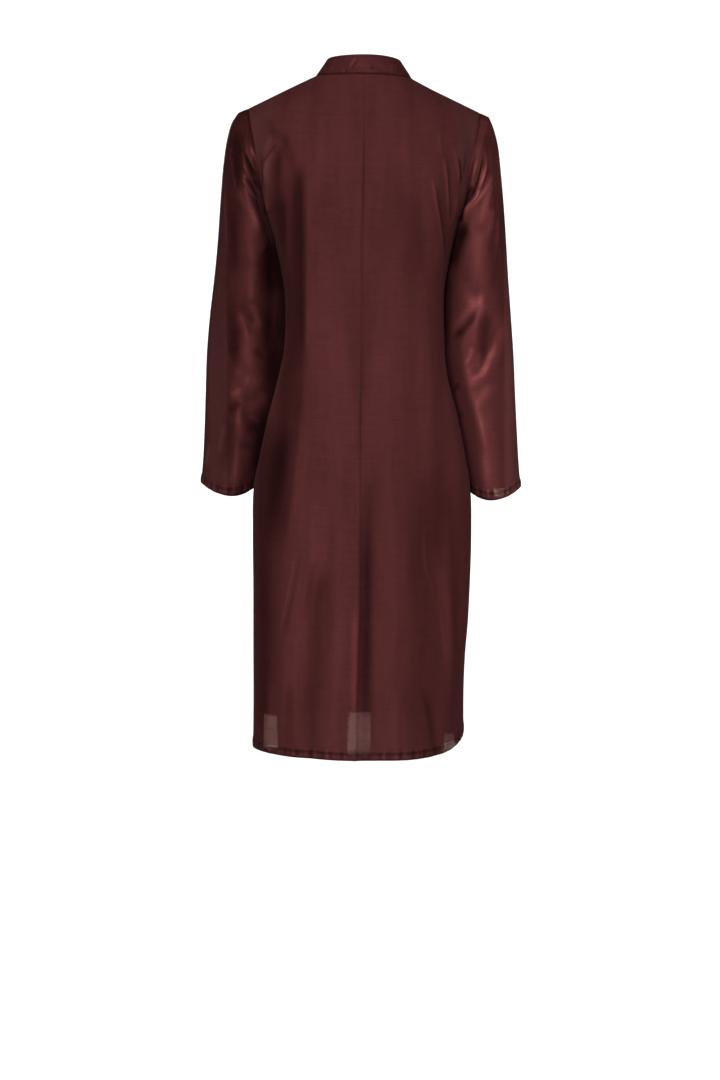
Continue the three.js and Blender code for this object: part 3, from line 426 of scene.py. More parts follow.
# Where each panel starts, from the middle of the back or front to the left
PANEL_START = {
    "back_left": 0,
    "back_right": -SEAM_UNDERLAP,
    "front_left": 5 - PLACKET_HALF_WIDTH,
    "front_right": PLACKET_HALF_WIDTH - 3,
}
# A gentle unevenness: width, length, start and height of each wave
RIPPLES = (
    (31, 210, 0.4, 0.5), (47, 330, 2.1, 0.6), (73, 460, 4.0, 0.8), (19, 140, 1.3, 0.22), (27, 95, 5.2, 0.25),
)

# Places below the lining where the outer cloth hangs alone, so that light comes through:
# x from and to at the top, x from and to at the bottom, z of the top and of the bottom, and how sheer.
# Besides letting the surround show through, the material paints a brighter colour here for the light coming
# through.
SHEER_PLACES = table(
    "top_from top_to low_from low_to top_z low_z sheer",
    (136, 157, 134, 158, -1017, -1069, 1.0),
    (10, 23, 10, 26, -1012, -1076, 1.0),
    (-9, 9, -10, 9, -1012, -1076, 0.72),
    (-139, -124, -144, -122, -1040, -1066, 0.55),
)
SHEER_LOW_Z = -1062  # the cloth is a little closer below here, over the turned hem
CUFF_SHEER = (206, 225, -667, -652, 0.8)  # at the back of the right cuff: x and z from and to, and how sheer


class DressSizes(bpy.types.PropertyGroup):
    """Sizes of the cloth and of the sewing."""

    cloth: FloatProperty(
        name="Cloth", description="Thickness of the outer cloth",
        default=0.0005, min=0.0002, subtype="DISTANCE",
    )
    collar_cloth: FloatProperty(
        name="Collar", description="Thickness of the stiffened collar", default=0.0018, subtype="DISTANCE",
    )
    hem: FloatProperty(
        name="Hem", description="Height of the turned hems", default=0.012, subtype="DISTANCE",
    )
    hem_raise: FloatProperty(
        name="Hem raise", description="How far a turned hem stands out", default=0.0006, subtype="DISTANCE",
    )
    pucker: FloatProperty(
        name="Pucker", description="Depth of the puckers along the hems", default=0.0013, subtype="DISTANCE",
    )
    stitch: FloatProperty(
        name="Stitch", description="Length of a stitch", default=0.0026, subtype="DISTANCE",
    )
    thread: FloatProperty(
        name="Thread", description="Thickness of the sewing thread", default=0.00045, subtype="DISTANCE",
    )
    button: FloatProperty(
        name="Button", description="Radius of a button", default=0.0055, subtype="DISTANCE",
    )


class DressLook(bpy.types.PropertyGroup):
    """Colours and finish of the dress."""

    cloth: FloatVectorProperty(
        name="Cloth", description="Colour of the outer cloth",
        default=(0.0195, 0.005, 0.0051), size=3, subtype="COLOR",
    )
    lining: FloatVectorProperty(
        name="Lining", description="Colour of the lining",
        default=(0.0105, 0.0028, 0.0028), size=3, subtype="COLOR",
    )
    thread: FloatVectorProperty(
        name="Thread", description="Colour of the sewing thread",
        default=(0.009, 0.0024, 0.0024), size=3, subtype="COLOR",
    )
    button: FloatVectorProperty(
        name="Buttons", description="Colour of the buttons",
        default=(0.02, 0.005, 0.0055), size=3, subtype="COLOR",
    )
    roughness: FloatProperty(
        name="Roughness", description="Roughness of the silky cloth",
        default=0.44, min=0, max=1, subtype="FACTOR",
    )
    gleam: FloatProperty(
        name="Gleam", description="How coloured and strong the sleeves' highlights are",
        default=0.4, min=0, max=1, subtype="FACTOR",
    )
    sheen: FloatProperty(
        name="Sheen", description="Strength of the cloth's sheen",
        default=0.008, min=0, max=1, subtype="FACTOR",
    )
    sheer: FloatProperty(
        name="Sheer", description="Light let through where the cloth hangs alone",
        default=0.34, min=0, max=1, subtype="FACTOR",
    )


class DressStage(bpy.types.PropertyGroup):
    """The studio round the dress."""

    distance: FloatProperty(
        name="Camera distance", description="From the camera to the middle of the dress",
        default=4.0, subtype="DISTANCE",
    )
    height: FloatProperty(
        name="Camera height", description="Height of the camera over the origin",
        default=-0.7428, subtype="DISTANCE",
    )
    aside: FloatProperty(
        name="Camera aside", description="How far the camera stands to the left",
        default=0.0064, subtype="DISTANCE",
    )
    lens: FloatProperty(
        name="Lens", description="Focal length over a 36 mm long side", default=83.33, unit="CAMERA",
    )
    floor: FloatProperty(
        name="Floor", description="Height of the floor", default=-1.585, subtype="DISTANCE",
    )
    surround: FloatProperty(
        name="Surround", description="Brightness of the pale surround", default=1.0, min=0,
    )
    key: FloatProperty(
        name="Key light", description="Power of the key light", default=560, unit="POWER",
    )
    fill: FloatProperty(
        name="Fill light", description="Power of the fill light", default=30, unit="POWER",
    )
    cove: FloatProperty(
        name="Cove", description="Radius at which the floor starts to rise", default=5.5, subtype="DISTANCE",
    )


# Small helpers for arrays of numbers


def smooth(share):
    t = np.clip(share, 0, 1)
    return t * t * (3 - 2 * t)


def mix(a, b, share):
    return a + (b - a) * share


def bell(distance, width):
    return np.exp(-((distance / width) ** 2))


def along(values, level):
    """The values at levels between a column's rows, on a smooth curve through them."""
    last = len(values) - 1
    at = np.clip(level, 0, last)
    i = np.minimum(np.floor(at).astype(int), last - 1)
    t = at - i
    before, a, b, after = (values[np.clip(i + k, 0, last)] for k in (-1, 0, 1, 2))
    rise = np.where(i == 0, b - a, (b - before) / 2)
    fall = np.where(i == last - 1, b - a, (after - a) / 2)
    t2, t3 = t * t, t * t * t
    return (2 * t3 - 3 * t2 + 1) * a + (t3 - 2 * t2 + t) * rise + (3 * t2 - 2 * t3) * b + (t3 - t2) * fall


def points(x, y, z):
    return np.stack(np.broadcast_arrays(x, y, z), axis=-1).astype(float)


def unit(vectors):
    return vectors / np.maximum(np.linalg.norm(vectors, axis=-1, keepdims=True), 1e-9)


def dot(a, b):
    return (a * b).sum(-1, keepdims=True)


def fold_height(folds, a, z, scale=1.0):
    """The height of all large folds at places on the cloth."""
    total = np.zeros(np.broadcast(a, z).shape)
    for a0, z0, a1, z1, bow, width, height in zip(*folds.values()):
        da, dz = (a1 - a0) * scale, z1 - z0
        length = np.hypot(da, dz)
        q = ((a - a0 * scale) * da + (z - z0) * dz) / length**2
        away = ((a - a0 * scale) * dz - (z - z0) * da) / length + bow * 4 * q * (1 - q)
        fade = smooth(q / 0.3) * smooth((1 - q) / 0.25)
        total += height * bell(away, width) * fade
    return total


def crease_field(creases, a, z):
    """The height of all fine creases at places on the cloth, and the painted shade and painted highlights
    along each.
    """
    height, tone = np.zeros(a.shape), np.zeros(a.shape)
    for a0, z0, a1, z1, a2, z2, width, high, lean, shade in zip(*creases.values()):
        t = np.linspace(0, 1, CREASE_STEPS + 1)
        path_a, path_z = (
            (1 - t) ** 2 * start + 2 * t * (1 - t) * (2 * middle - (start + end) / 2) + t * t * end
            for start, middle, end in ((a0, a1, a2), (z0, z1, z2))
        )
        reach = width * 4
        near = (
            (a > path_a.min() - reach) & (a < path_a.max() + reach)
            & (z > path_z.min() - reach) & (z < path_z.max() + reach)
        )
        if not near.any():
            continue
        pa, pz = a[near][:, None], z[near][:, None]
        sa, sz = np.diff(path_a), np.diff(path_z)
        length2 = np.maximum(sa**2 + sz**2, 1e-6)
        q = np.clip(((pa - path_a[:-1]) * sa + (pz - path_z[:-1]) * sz) / length2, 0, 1)
        da, dz = pa - path_a[:-1] - q * sa, pz - path_z[:-1] - q * sz
        far = np.hypot(da, dz)
        k = far.argmin(1)
        rows = np.arange(len(k))
        share = (k + q[rows, k]) / CREASE_STEPS
        side = np.where(-sz[k] * da[rows, k] + sa[k] * dz[rows, k] > 0, 1.0, -1.0)
        spread = np.maximum(width * (1 + lean * side), 0.8)
        profile = bell(far[rows, k], spread) * smooth(share / 0.3) * smooth((1 - share) / 0.3)
        height[near] += high * profile
        tone[near] += shade * profile
    return height, tone


def ripple(a, z):
    """A slight unevenness that hanging cloth has, longer than it is wide."""
    total = 0
    for width, length, start, height in RIPPLES:
        drift = 1.7 * np.sin(z / (length * 0.9) + start)
        total = total + height * np.sin(a / width * 2 + drift + start) * np.sin(z / length * 2 + start * 1.7)
    return total


# The dress's form


def armhole_point(turn):
    """A point on the left armhole, by degrees round from its top, by the back."""
    c, s = np.cos(np.radians(turn)), np.sin(np.radians(turn))
    centre, top, back, under, front = ARMHOLE
    up_down = np.where((c > 0)[..., None], top, under) - centre
    back_front = np.where((s > 0)[..., None], back, front) - centre
    return centre + np.abs(c)[..., None] * up_down + np.abs(s)[..., None] * back_front


def upper_edge(face, share):
    """A panel's upper edge: the neck line as far as the shoulder, and then the shoulder line."""
    neck_y, neck_z = NECK[face]
    angle = np.clip(share / NECK_SHARE, 0, 1) * (np.pi / 2)
    x, y, z = SHOULDER_NECK
    on_neck = points(
        NECK_HALF_WIDTH * np.sin(angle), mix(y, neck_y, np.cos(angle)), mix(z, neck_z, np.cos(angle))
    )
    q = np.clip((share - NECK_SHARE) / (1 - NECK_SHARE), 0, 1)
    tip_x, tip_y, tip_z = SHOULDER_TIP
    on_shoulder = points(
        mix(x, tip_x, q), mix(y, tip_y, q), mix(z, tip_z, q) + SHOULDER_CROWN * np.sin(np.pi * q)
    )
    return np.where((share < NECK_SHARE)[..., None], on_neck, on_shoulder)


def softened_edge(face, share, height):
    """The upper edge, with its corner at the neck rounder the further down the panel it is used."""
    reach = 0.22 * (1 - height)
    steps = (-1, -0.6, -0.2, 0.2, 0.6, 1)
    return sum(upper_edge(face, np.clip(share + reach * step, 0, 1)) for step in steps) / len(steps)


def section_curve(middle, edge, arc, share, power):
    """A section's curve from the middle of the back or front to its edge."""
    bend = 2 / SQUARENESS
    end = np.radians(arc)
    angle = share * end
    across = (np.sin(angle) / np.sin(end)) ** bend
    low = np.maximum(0, np.cos(end)) ** bend
    depth = (np.maximum(0, np.cos(angle)) ** bend - low) / (1 - low)
    (middle_y, middle_z), (edge_x, edge_y, edge_z) = middle, edge
    return points(edge_x * across, mix(edge_y, middle_y, depth), mix(middle_z, edge_z, share**power))


def body_form(share, level, face, side):
    """The smooth form of a panel. share: 0 at the middle of the back or front and 1 at the side, or past the
    middle where it is negative. level: counted in sections from the hem."""
    share, level = np.broadcast_arrays(np.asarray(share, float), np.asarray(level, float))
    left = (share >= 0) == (side == "left")
    share = np.abs(share)
    low = np.minimum(level, UNDERARM)
    z, seam = along(BODY["z"], low), along(BODY["seam"], low)
    fade = 1 - smooth((z - BODY["z"][0]) / HEM_RISE_FADE)
    (left_rise, left_power), (right_rise, right_power) = HEM_RISE["left"], HEM_RISE["right"]
    rise, power = np.where(left, left_rise, right_rise), np.where(left, left_power, right_power)
    reach = np.where(left, along(BODY["left"], low) - seam, along(BODY["right"], low) + seam)
    edge = reach, along(BODY["side"], low), z + rise * fade
    lower = section_curve((along(BODY[face], low), z), edge, 90, share, power)
    sign = np.where(left, 1, -1)
    lower[..., 0] = seam + sign * lower[..., 0]

    way = 1 if face == "back" else -1

    def curve_at(step):
        edge = armhole_point(along(YOKE["turn"], step) * way)
        middle = along(YOKE[face], step), along(YOKE[face + "_z"], step)
        return section_curve(middle, np.moveaxis(edge, -1, 0), along(YOKE["arc"], step), share, 2)

    step = np.maximum(level - UNDERARM, 0)
    height = step / (SHOULDER - UNDERARM)
    upper = curve_at(step)
    raised = softened_edge(face, share, height) - curve_at(np.full(step.shape, float(SHOULDER - UNDERARM)))
    upper += raised * (height**4)[..., None]
    rounding = 12.2 * height**4 * (1 - height) * np.sin(np.pi * share) ** 2 * 0.7 * SHOULDER_FULLNESS[face]
    upper[..., 1] += rounding * way
    upper[..., 2] += rounding
    upper[..., 0] *= sign
    return np.where((level > UNDERARM)[..., None], upper, lower)


def grid_normals(grid, outward, ring=False):
    """The normals of a grid of points, on the side that outward points to."""
    if ring:
        padded = np.concatenate([grid[:, -2:-1], grid, grid[:, 1:2]], axis=1)
        across = (padded[:, 2:] - padded[:, :-2]) / 2
    else:
        across = np.gradient(grid, axis=1)
    up = np.gradient(grid, axis=0)
    normals = unit(np.cross(across, up))
    return normals * np.where(dot(normals, outward) < 0, -1, 1)


def panel_normals(form, level):
    """The outward normals of a panel's form. Above the underarm, outwards is also upwards."""
    return grid_normals(form, points(form[..., 0] * 0.6, form[..., 1], np.where(level > UNDERARM, 60, 0)))


def settled(grid):
    """The grid with the right shoulder's droop."""
    lowered = grid.copy()
    lowered[..., 2] -= DROOP * smooth((-grid[..., 0] - DROOP_FROM) / DROOP_OVER)
    return lowered


def even_levels(face, bottom, top, count):
    """Levels between two others that lie evenly along the cloth."""
    level = np.linspace(bottom, top, 800)
    line = body_form(np.full(level.shape, 0.5), level, face, "left")
    length = distance_along(line, 0)
    return np.interp(np.linspace(0, length[-1], count), length, level)


def level_at(z):
    """The level at which the middle of the body below the armholes has a height."""
    level = np.linspace(0, UNDERARM, 3000)
    return np.interp(z, along(BODY["z"], level), level)


def side_reach(side, y, z):
    """How far out the body reaches at a depth and a height below the armholes."""
    level = level_at(z)
    side_y = along(BODY["side"], level)
    middle = np.where(y > side_y, along(BODY["back"], level), along(BODY["front"], level))
    depth = np.clip((y - side_y) / (middle - side_y), 0, 1)
    seam = along(BODY["seam"], level)
    reach = along(BODY[side], level)
    sign = 1 if side == "left" else -1
    return sign * seam + (reach - sign * seam) * (1 - depth**SQUARENESS) ** (1 / SQUARENESS)


def seam_x(level):
    """Where the middle of the back and front is."""
    return np.where(level <= UNDERARM, along(BODY["seam"], np.minimum(level, UNDERARM)), 0)


def share_at(face, level, x):
    """The share of the way from the middle to the left side at which the cloth is x to the left."""
    share = np.linspace(-0.3, 0.5, 321)
    places = body_form(share[None, :], level[:, None], face, "left")[..., 0]
    return np.array([np.interp(x, row - middle, share) for row, middle in zip(places, seam_x(level))])


def distance_along(grid, axis):
    """How far along the cloth each point is from the start of its column (axis 0) or of its row (axis 1)."""
    return np.insert(np.linalg.norm(np.diff(grid, axis=axis), axis=-1).cumsum(axis), 0, 0, axis=axis)


def puckers(up, across, sizes):
    """The uneven pull of the stitches along a turned hem, from -1 to 1."""
    hem = sizes.hem / MM
    uneven = 0.45 * np.sin(across / 1.5 + 2.3 * np.sin(across / 23))
    uneven = uneven + 0.55 * np.sin(across / 2.7 + 3 * np.sin(across / 37))
    return uneven * bell(up - hem + 3, np.where(up > hem - 3, 5, 9))


def hem_work(up, across, sizes):
    """How far a turned hem stands out, with its step, its stitched groove and its puckers."""
    hem = sizes.hem / MM
    step = sizes.hem_raise / MM * (1 - smooth((up - hem + 1) / 1.5))
    groove = -0.5 * bell(up - hem + HEM_STITCHES, 1.1)
    return step + groove + sizes.pucker / MM * puckers(up, across, sizes)


def hem_painted_shading(up, across, sizes):
    """Painted shading of a turned hem: painted shade in its stitched groove and along its lower edge, and
    painted light and shade on its puckers.
    """
    line = bell(up - sizes.hem / MM + 2, 1.8)
    return 0.8 * puckers(up, across, sizes) - 1.3 * line - 1.5 * bell(up, 1.6)


def seam_profile(from_seam, z, side):
    """How far the cloth beside the centre-back seam stands out or in."""
    strength = smooth((SEAM_TOP - z) / 400)
    if side == "left":
        return strength * SEAM_LEFT * bell(from_seam, SEAM_WIDTH)
    under = 0.8 * smooth(from_seam / 1.5)
    return strength * SEAM_RIGHT * bell(from_seam - SEAM_RIGHT_CENTRE, SEAM_WIDTH) - under


def body_height(grid, share, level, face, side, fine=True):
    """How far the folds and creases move the body cloth out, and the painted shade and painted highlights
    they give it.
    """
    x, z = grid[..., 0], grid[..., 2]
    near_armhole = smooth((level - UNDERARM + 2) / 2)
    calm = 1 - smooth((level - SHOULDER + 1.2) / 1.2)
    calm = calm * mix(1, smooth(np.abs(1 - share) / 0.2), near_armhole)
    folds = fold_height(FOLDS[face], x, z)
    if face == "back":
        folds = folds + seam_profile(x - seam_x(level), z, side)
    if not fine:
        return folds * calm, None
    height, tone = crease_field(CREASES[face], x, z)
    edge_calm = mix(1, smooth(np.abs(1 - share) / 0.03), near_armhole)
    edge_calm = edge_calm * (1 - smooth((level - SHOULDER + 0.3) / 0.3))
    beside_sleeve = smooth((z - SLEEVE_FREE_Z + 30) / 60)
    edge_calm = edge_calm * mix(1, smooth(np.abs(1 - share) / 0.1), beside_sleeve)
    height = (height + ripple(x, z) * smooth((SHOULDER - level) / 2)) * edge_calm
    return folds * calm + height, tone


def body_grid(face, side, columns, rows, sizes):
    """A body panel's points and normals, what its material reads, and its places on the cloth."""
    level = even_levels(face, 0, SHOULDER - 0.006, rows - 1)
    level = np.append(level, level[-1])[:, None]
    start = share_at(face, level[:, 0], PANEL_START[f"{face}_{side}"])[:, None]
    share = start + (1 - start) * np.linspace(0, 1, columns)[None, :]
    level = np.broadcast_to(level, share.shape)
    form = body_form(share, level, face, side)
    normals = panel_normals(form, level)
    height, tone = body_height(form, share, level, face, side)
    up, across = distance_along(form, 0), distance_along(form, 1)
    height = height + CLOTH_OUT + hem_work(up, across, sizes)
    from_side, from_top = across[:, -1:] - across, up[-1:] - up
    # Painted shade along the side seams and along the top edge.
    for distance, dark in ((from_side, np.where(level > UNDERARM, 0.5, 0.6)), (from_top, 0.35)):
        tone = tone - dark * bell(distance, 1.3)
    # Painted shade towards the sides below the armholes, where the body turns away from the light.
    tone = tone - 0.4 * smooth((share - 0.84) / 0.16) * (level < UNDERARM)
    height = height - SEAM_GROOVE * bell(from_side, 1.5)
    if face == "back":
        from_seam = form[..., 0] - seam_x(level)
        height = height - SEAM_GROOVE * bell(from_seam, 1.4)
        # Painted shade along the centre-back seam.
        dark = np.interp(form[..., 2], BACK_LINE["z"], BACK_LINE["dark"])
        tone = tone - 1.1 * dark * bell(from_seam + 0.6, 1.3)
    grid = form + normals * height[..., None]
    grid[-1] = grid[-2]
    if face == "front":
        beyond = body_form(share[-1], level[-1] - 0.07, "back", side) + np.array([0, -0.9, -0.9])
        grid[-1] = mix(grid[-2], beyond, smooth((share[-1] - NECK_SHARE) / 0.03)[:, None])
    sheer = sheer_mask(form, face)
    # The hem's painted shading, lessened where the cloth is sheer.
    tone = (tone + hem_painted_shading(up, across, sizes)) * (1 - 0.5 * sheer)
    values = {"sheer": sheer, "tone": tone, "unlined": unlined_mask(share, level, form), "lustre": 0 * tone}
    return settled(grid), normals, values, (across, up)


def lining_reach(level, low):
    """The share of the way round that the lining reaches: low up to the underarm, and less above it."""
    yoke = np.clip((level - UNDERARM + 0.6) / (SHOULDER - UNDERARM), 0, 1)
    return mix(low, LINING_SHOULDER_SHARE, smooth(yoke * 1.6))


def unlined_mask(share, level, form):
    """1 where the cloth hangs with no lining behind it, and 0 where it is lined. The material paints light
    coming through there, as a greyer colour.
    """
    beyond = smooth((share - lining_reach(level, 1.02)) / 0.012 + 0.5)
    below = smooth((LINING_BOTTOM - form[..., 2]) / 3 + 0.5)
    return np.maximum(beyond, 0.04 * below)


def sheer_mask(form, face):
    """How much light the cloth lets through, from 0 to 1. The material lets the surround show through by that
    much, and also paints the light coming through as a brighter colour.
    """
    x, z = form[..., 0], form[..., 2]
    alone = smooth((LINING_BOTTOM - z) / 3 + 0.5) * smooth((z - BODY["z"][0] - 13) / 2)
    if face == "front":
        return 0.15 * alone
    total = 0.02 * alone
    for a0, a1, b0, b1, top, low, sheer in zip(*SHEER_PLACES.values()):
        q = np.clip((top - z) / (top - low), 0, 1)
        within = smooth((x - mix(a0, b0, q)) / 3 + 0.5) * smooth((mix(a1, b1, q) - x) / 3 + 0.5)
        within = within * smooth((top - z) / 2 + 0.5) * smooth((z - low) / 3 + 0.5)
        total = np.maximum(total, sheer * within * mix(1, 0.35, smooth((SHEER_LOW_Z - z) / 6)))
    return total


def sleeve_form(side, turn, level):
    """The smooth form of a sleeve, drawn on the left, by degrees round from its outer side by the back."""
    turn, level = np.broadcast_arrays(np.asarray(turn, float), np.asarray(level, float))
    c, s = np.cos(np.radians(turn)), np.sin(np.radians(turn))

    def section(at):
        out_x, in_x = along(SLEEVE[side + "_out"], at), along(SLEEVE[side + "_in"], at)
        out_z, in_z = along(SLEEVE["z_out"], at), along(SLEEVE["z_in"], at)
        reach = np.where(s > 0, along(SLEEVE["back"], at), along(SLEEVE["front"], at))
        bow = CUFF_BOW * smooth((at - CUFF + 4) / 3) * s * s
        x, z = (out_x + in_x + (out_x - in_x) * c) / 2, (out_z + in_z + (out_z - in_z) * c) / 2
        return points(x, along(SLEEVE["y"], at) + s * reach, z - bow)

    first = section(np.zeros(level.shape))
    start, under = sleeve_start(turn, first)
    near = start + (first - start) * np.clip(level, 0, 1)[..., None]
    near = near + (under - start) * np.clip(-level / SEAM_ALLOWANCE_LEVEL, 0, 1)[..., None]
    return np.where((level >= 1)[..., None], section(np.maximum(level - 1, 0)), near)


def sleeve_start(turn, first):
    """Where the sleeve starts on the armhole, clear of the panel's edge however far it folds over it, and
    where its seam allowance ends under the panel."""
    degrees = np.mod(turn, 360)
    level = UNDERARM + np.abs(180 - degrees) / 30
    inner = np.maximum(level - 0.2, 0)
    edge = armhole_point(turn)
    tangent = unit(armhole_point(turn + 1) - armhole_point(turn - 1))
    by_face = []
    for face in ("back", "front"):
        within = body_form(np.full(level.shape, 0.95), inner, face, "left")
        beside = body_form(np.full(level.shape, 0.97), level, face, "left")
        by_face.append((within, beside))
    behind = (degrees < 180)[..., None]
    within, beside = (np.where(behind, back, front) for back, front in zip(*by_face))
    out = unit(np.cross(tangent, beside - edge + (within - edge) * 0.2))
    out = out * np.where(dot(out, edge * np.array([1, 1, 0]) + np.array([0, 0, 60])) < 0, -1, 1)
    away = unit(np.cross(tangent, out))
    away = away * np.where(dot(away, within - edge) > 0, -1, 1)
    heading = first - edge
    fold = np.arctan2(dot(heading, out), dot(heading, away))
    start = edge + away * (0.3 * (1 + np.cos(fold)) / 2) + out * (1.2 * (1 - np.cos(fold)) / 2 + 0.2)
    return start, edge - away * 3 - out * 1.2


def sleeve_grid(side, columns, rows, sizes):
    """A sleeve's points in rings from armhole to cuff, what its material reads, and its places on cloth."""
    turn = np.interp(np.linspace(0, 1, columns + 1), (0, 0.58, 1), (0, 180, 360))[None, :]
    level = np.append(-SEAM_ALLOWANCE_LEVEL, np.linspace(0, CUFF, rows - 1))[:, None]
    form = sleeve_form(side, turn, level)
    turn, level = np.broadcast_arrays(turn, level)
    middle = form[:, :-1].mean(1, keepdims=True)
    normals = grid_normals(form, form - middle, ring=True)
    scale = np.radians(FOLD_RADIUS)
    x, z = form[..., 0], form[..., 2]
    height = fold_height(FOLDS[side], turn * scale, z, scale)
    shift = RIGHT_FRONT_SHIFT if side == "right" else 0
    behind, before = crease_field(CREASES[side], x, z), crease_field(SLEEVE_FRONT_CREASES, x, z + shift)
    fine, tone = (np.where(turn < 180, *pair) for pair in zip(behind, before))
    facing = np.abs(np.sin(np.radians(turn)))
    fine, tone = fine * smooth(facing / 0.35), tone * smooth(facing / 0.12)
    fine = fine + 0.7 * ripple(FOLD_RADIUS * 1.3 * np.sin(np.radians(turn)) + 400, z)
    inside = smooth((np.cos(np.radians(turn - 180)) - 0.7) / 0.25)
    height = (height + fine) * smooth(level / 0.8) * (1 - inside)
    across, from_top = distance_along(form, 1), distance_along(form, 0)
    from_cuff = from_top[-1:] - from_top
    from_top = from_top - from_top[1]
    height = height + CLOTH_OUT + hem_work(from_cuff, across, sizes) * mix(1, 0.4, inside)
    height = height - SEAM_GROOVE * bell(from_top, 1.5)
    # Painted shade in the armhole seam, and the cuff's painted hem shading.
    tone = tone - 0.9 * bell(from_top, 1.4) + hem_painted_shading(from_cuff, across, sizes)
    # Painted shade down the sleeve's outer side, where it turns away from the light, and the whole sleeve's
    # painted shading.
    tone = tone - 0.35 * smooth((np.cos(np.radians(turn)) - 0.86) / 0.14) + SLEEVE_PAINTED_SHADING[side]
    grid = form + normals * (height * (level >= 0))[..., None]
    beside = side_reach(side, grid[..., 1], grid[..., 2]) + SLEEVE_BESIDE
    below = (level >= 0) * smooth((UNDERARM_Z - grid[..., 2]) / 5)
    below = below * (1 - smooth((SLEEVE_FREE_Z - grid[..., 2]) / 60))
    touching = smooth((np.cos(np.radians(turn - 180)) - 0.8) / 0.18) * below
    grid[..., 0] = np.maximum(mix(grid[..., 0], beside, touching), np.where(below > 0, beside, -1e3))
    if side == "right":
        grid[..., 0] *= -1
    outer = smooth((x - SLEEVE_CLEAR[side]) / 3 + 0.5) * smooth((-160 - z) / 90)
    x0, x1, z0, z1, sheer = CUFF_SHEER
    patch = smooth((x - x0) / 2) * smooth((x1 - x) / 2) * smooth((z - z0) / 2) * smooth((z1 - z) / 2)
    sheer = sheer * patch * (turn < 180) * (side == "right")
    # Painted light on the outer strip that hangs clear of the arm: a little lighter, and greyer as if the
    # pale surround showed through.
    values = {"sheer": sheer, "tone": tone + 0.2 * outer, "unlined": 0.85 * outer, "lustre": 1 - 0.8 * outer}
    return settled(grid), values, (across, from_cuff)


def lining_grid(face, side, columns, rows):
    """A lining panel's points, which hang inside the body panel, and its places on the cloth."""
    bottom = level_at(LINING_BOTTOM)
    level = even_levels(face, bottom, SHOULDER - 0.03, rows)[:, None]
    start = share_at("front", level[:, 0], LINING_FRONT_EDGE)[:, None] if face == "front" else 0.0
    share = start + (lining_reach(level, 0.999) - start) * np.linspace(0, 1, columns)[None, :]
    level = np.broadcast_to(level, share.shape)
    form = body_form(share, level, face, side)
    normals = panel_normals(form, level)
    height, _ = body_height(form, share, level, face, side, fine=False)
    inside = mix(LINING_INSIDE, LINING_CLOSE, smooth((level - SHOULDER + 3) / 3))
    height = height * 0.5 - inside + 0.5 * ripple(form[..., 0] + 90, form[..., 2] + 40)
    return settled(form + normals * height[..., None]), (distance_along(form, 1), distance_along(form, 0))


# Making Blender objects


def deselect():
    bpy.ops.object.select_all(action="DESELECT")


def make_active(piece):
    deselect()
    piece.select_set(True)
    bpy.context.view_layer.objects.active = piece


def edit_all(step, **settings):
    """Runs an edit mode operator on the whole of the active piece."""
    bpy.ops.object.mode_set(mode="EDIT")
    bpy.ops.mesh.select_all(action="SELECT")
    step(**settings)
    bpy.ops.object.mode_set(mode="OBJECT")


def apply_modifier(piece, kind, **settings):
    modifier = piece.modifiers.new(kind, kind)
    for key, value in settings.items():
        setattr(modifier, key, value)
    bpy.ops.object.modifier_apply(modifier=modifier.name)


def soften_edges(piece, width, segments, angle):
    apply_modifier(
        piece, "BEVEL", width=width, segments=segments, limit_method="ANGLE", angle_limit=np.radians(angle)
    )


def cloth_object(name, grid, flat, values):
    """A sheet started as a plain grid, whose points are then moved to their places."""
    rows, columns = grid.shape[:2]
    deselect()
    bpy.ops.mesh.primitive_grid_add(
        x_subdivisions=columns - 1, y_subdivisions=rows - 1, size=1, calc_uvs=True
    )
    piece = bpy.context.object
    mesh = piece.data
    piece.name = mesh.name = name
    start = np.zeros(len(mesh.vertices) * 3)
    mesh.vertices.foreach_get("co", start)
    x, y, _ = start.reshape(-1, 3).T
    column = np.rint((x + 0.5) * (columns - 1)).astype(int)
    row = np.rint((y + 0.5) * (rows - 1)).astype(int)
    mesh.vertices.foreach_set("co", (grid[row, column] * MM).ravel())
    for key, value in values.items():
        layer = mesh.attributes.new(key, "FLOAT", "POINT")
        layer.data.foreach_set("value", value[row, column].astype(np.float32))
    corners = np.zeros(len(mesh.loops), int)
    mesh.loops.foreach_get("vertex_index", corners)
    places = np.stack([distance[row, column][corners] for distance in flat], axis=1) * MM * UV_PER_METRE
    mesh.uv_layers.active.data.foreach_set("uv", places.ravel())
    mesh.update()
    return piece


def face_outwards(piece, middle):
    """Turns a sheet's faces away from an upright line, judged by one face halfway up."""
    face = piece.data.polygons[len(piece.data.polygons) // 2 + 7]
    if (face.center.x - middle[0]) * face.normal.x + (face.center.y - middle[1]) * face.normal.y < 0:
        edit_all(bpy.ops.mesh.flip_normals)


def dress_piece(piece, material, slot, *nodes):
    """Gives a piece its material and its body, and hides the solids it stands for. The slot is not used."""
    piece.data.materials.clear()
    piece.data.materials.append(material)
    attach(piece, "root")
    if nodes:
        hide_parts(*nodes)


def make_sheet(name, node, slot, material, thickness, grid, flat, values, middle=(0, 0), ring=False, rim=0):
    """A finished piece of cloth, with its flat cut as its UV places."""
    piece = cloth_object(name, grid, flat, values)
    if ring:
        edit_all(bpy.ops.mesh.remove_doubles, threshold=0.00001)
    face_outwards(piece, middle)
    apply_modifier(piece, "SOLIDIFY", thickness=thickness, offset=0.0, use_even_offset=False)
    bpy.ops.object.shade_smooth_by_angle(angle=np.radians(50))
    if rim:
        soften_edges(piece, rim, 2, 60)
    dress_piece(piece, material, slot, node)


# Materials


def fill(tree, socket, value):
    """Links another node's output to an input, or writes any other value into it."""
    if isinstance(value, bpy.types.NodeSocket):
        tree.links.new(value, socket)
    else:
        socket.default_value = value


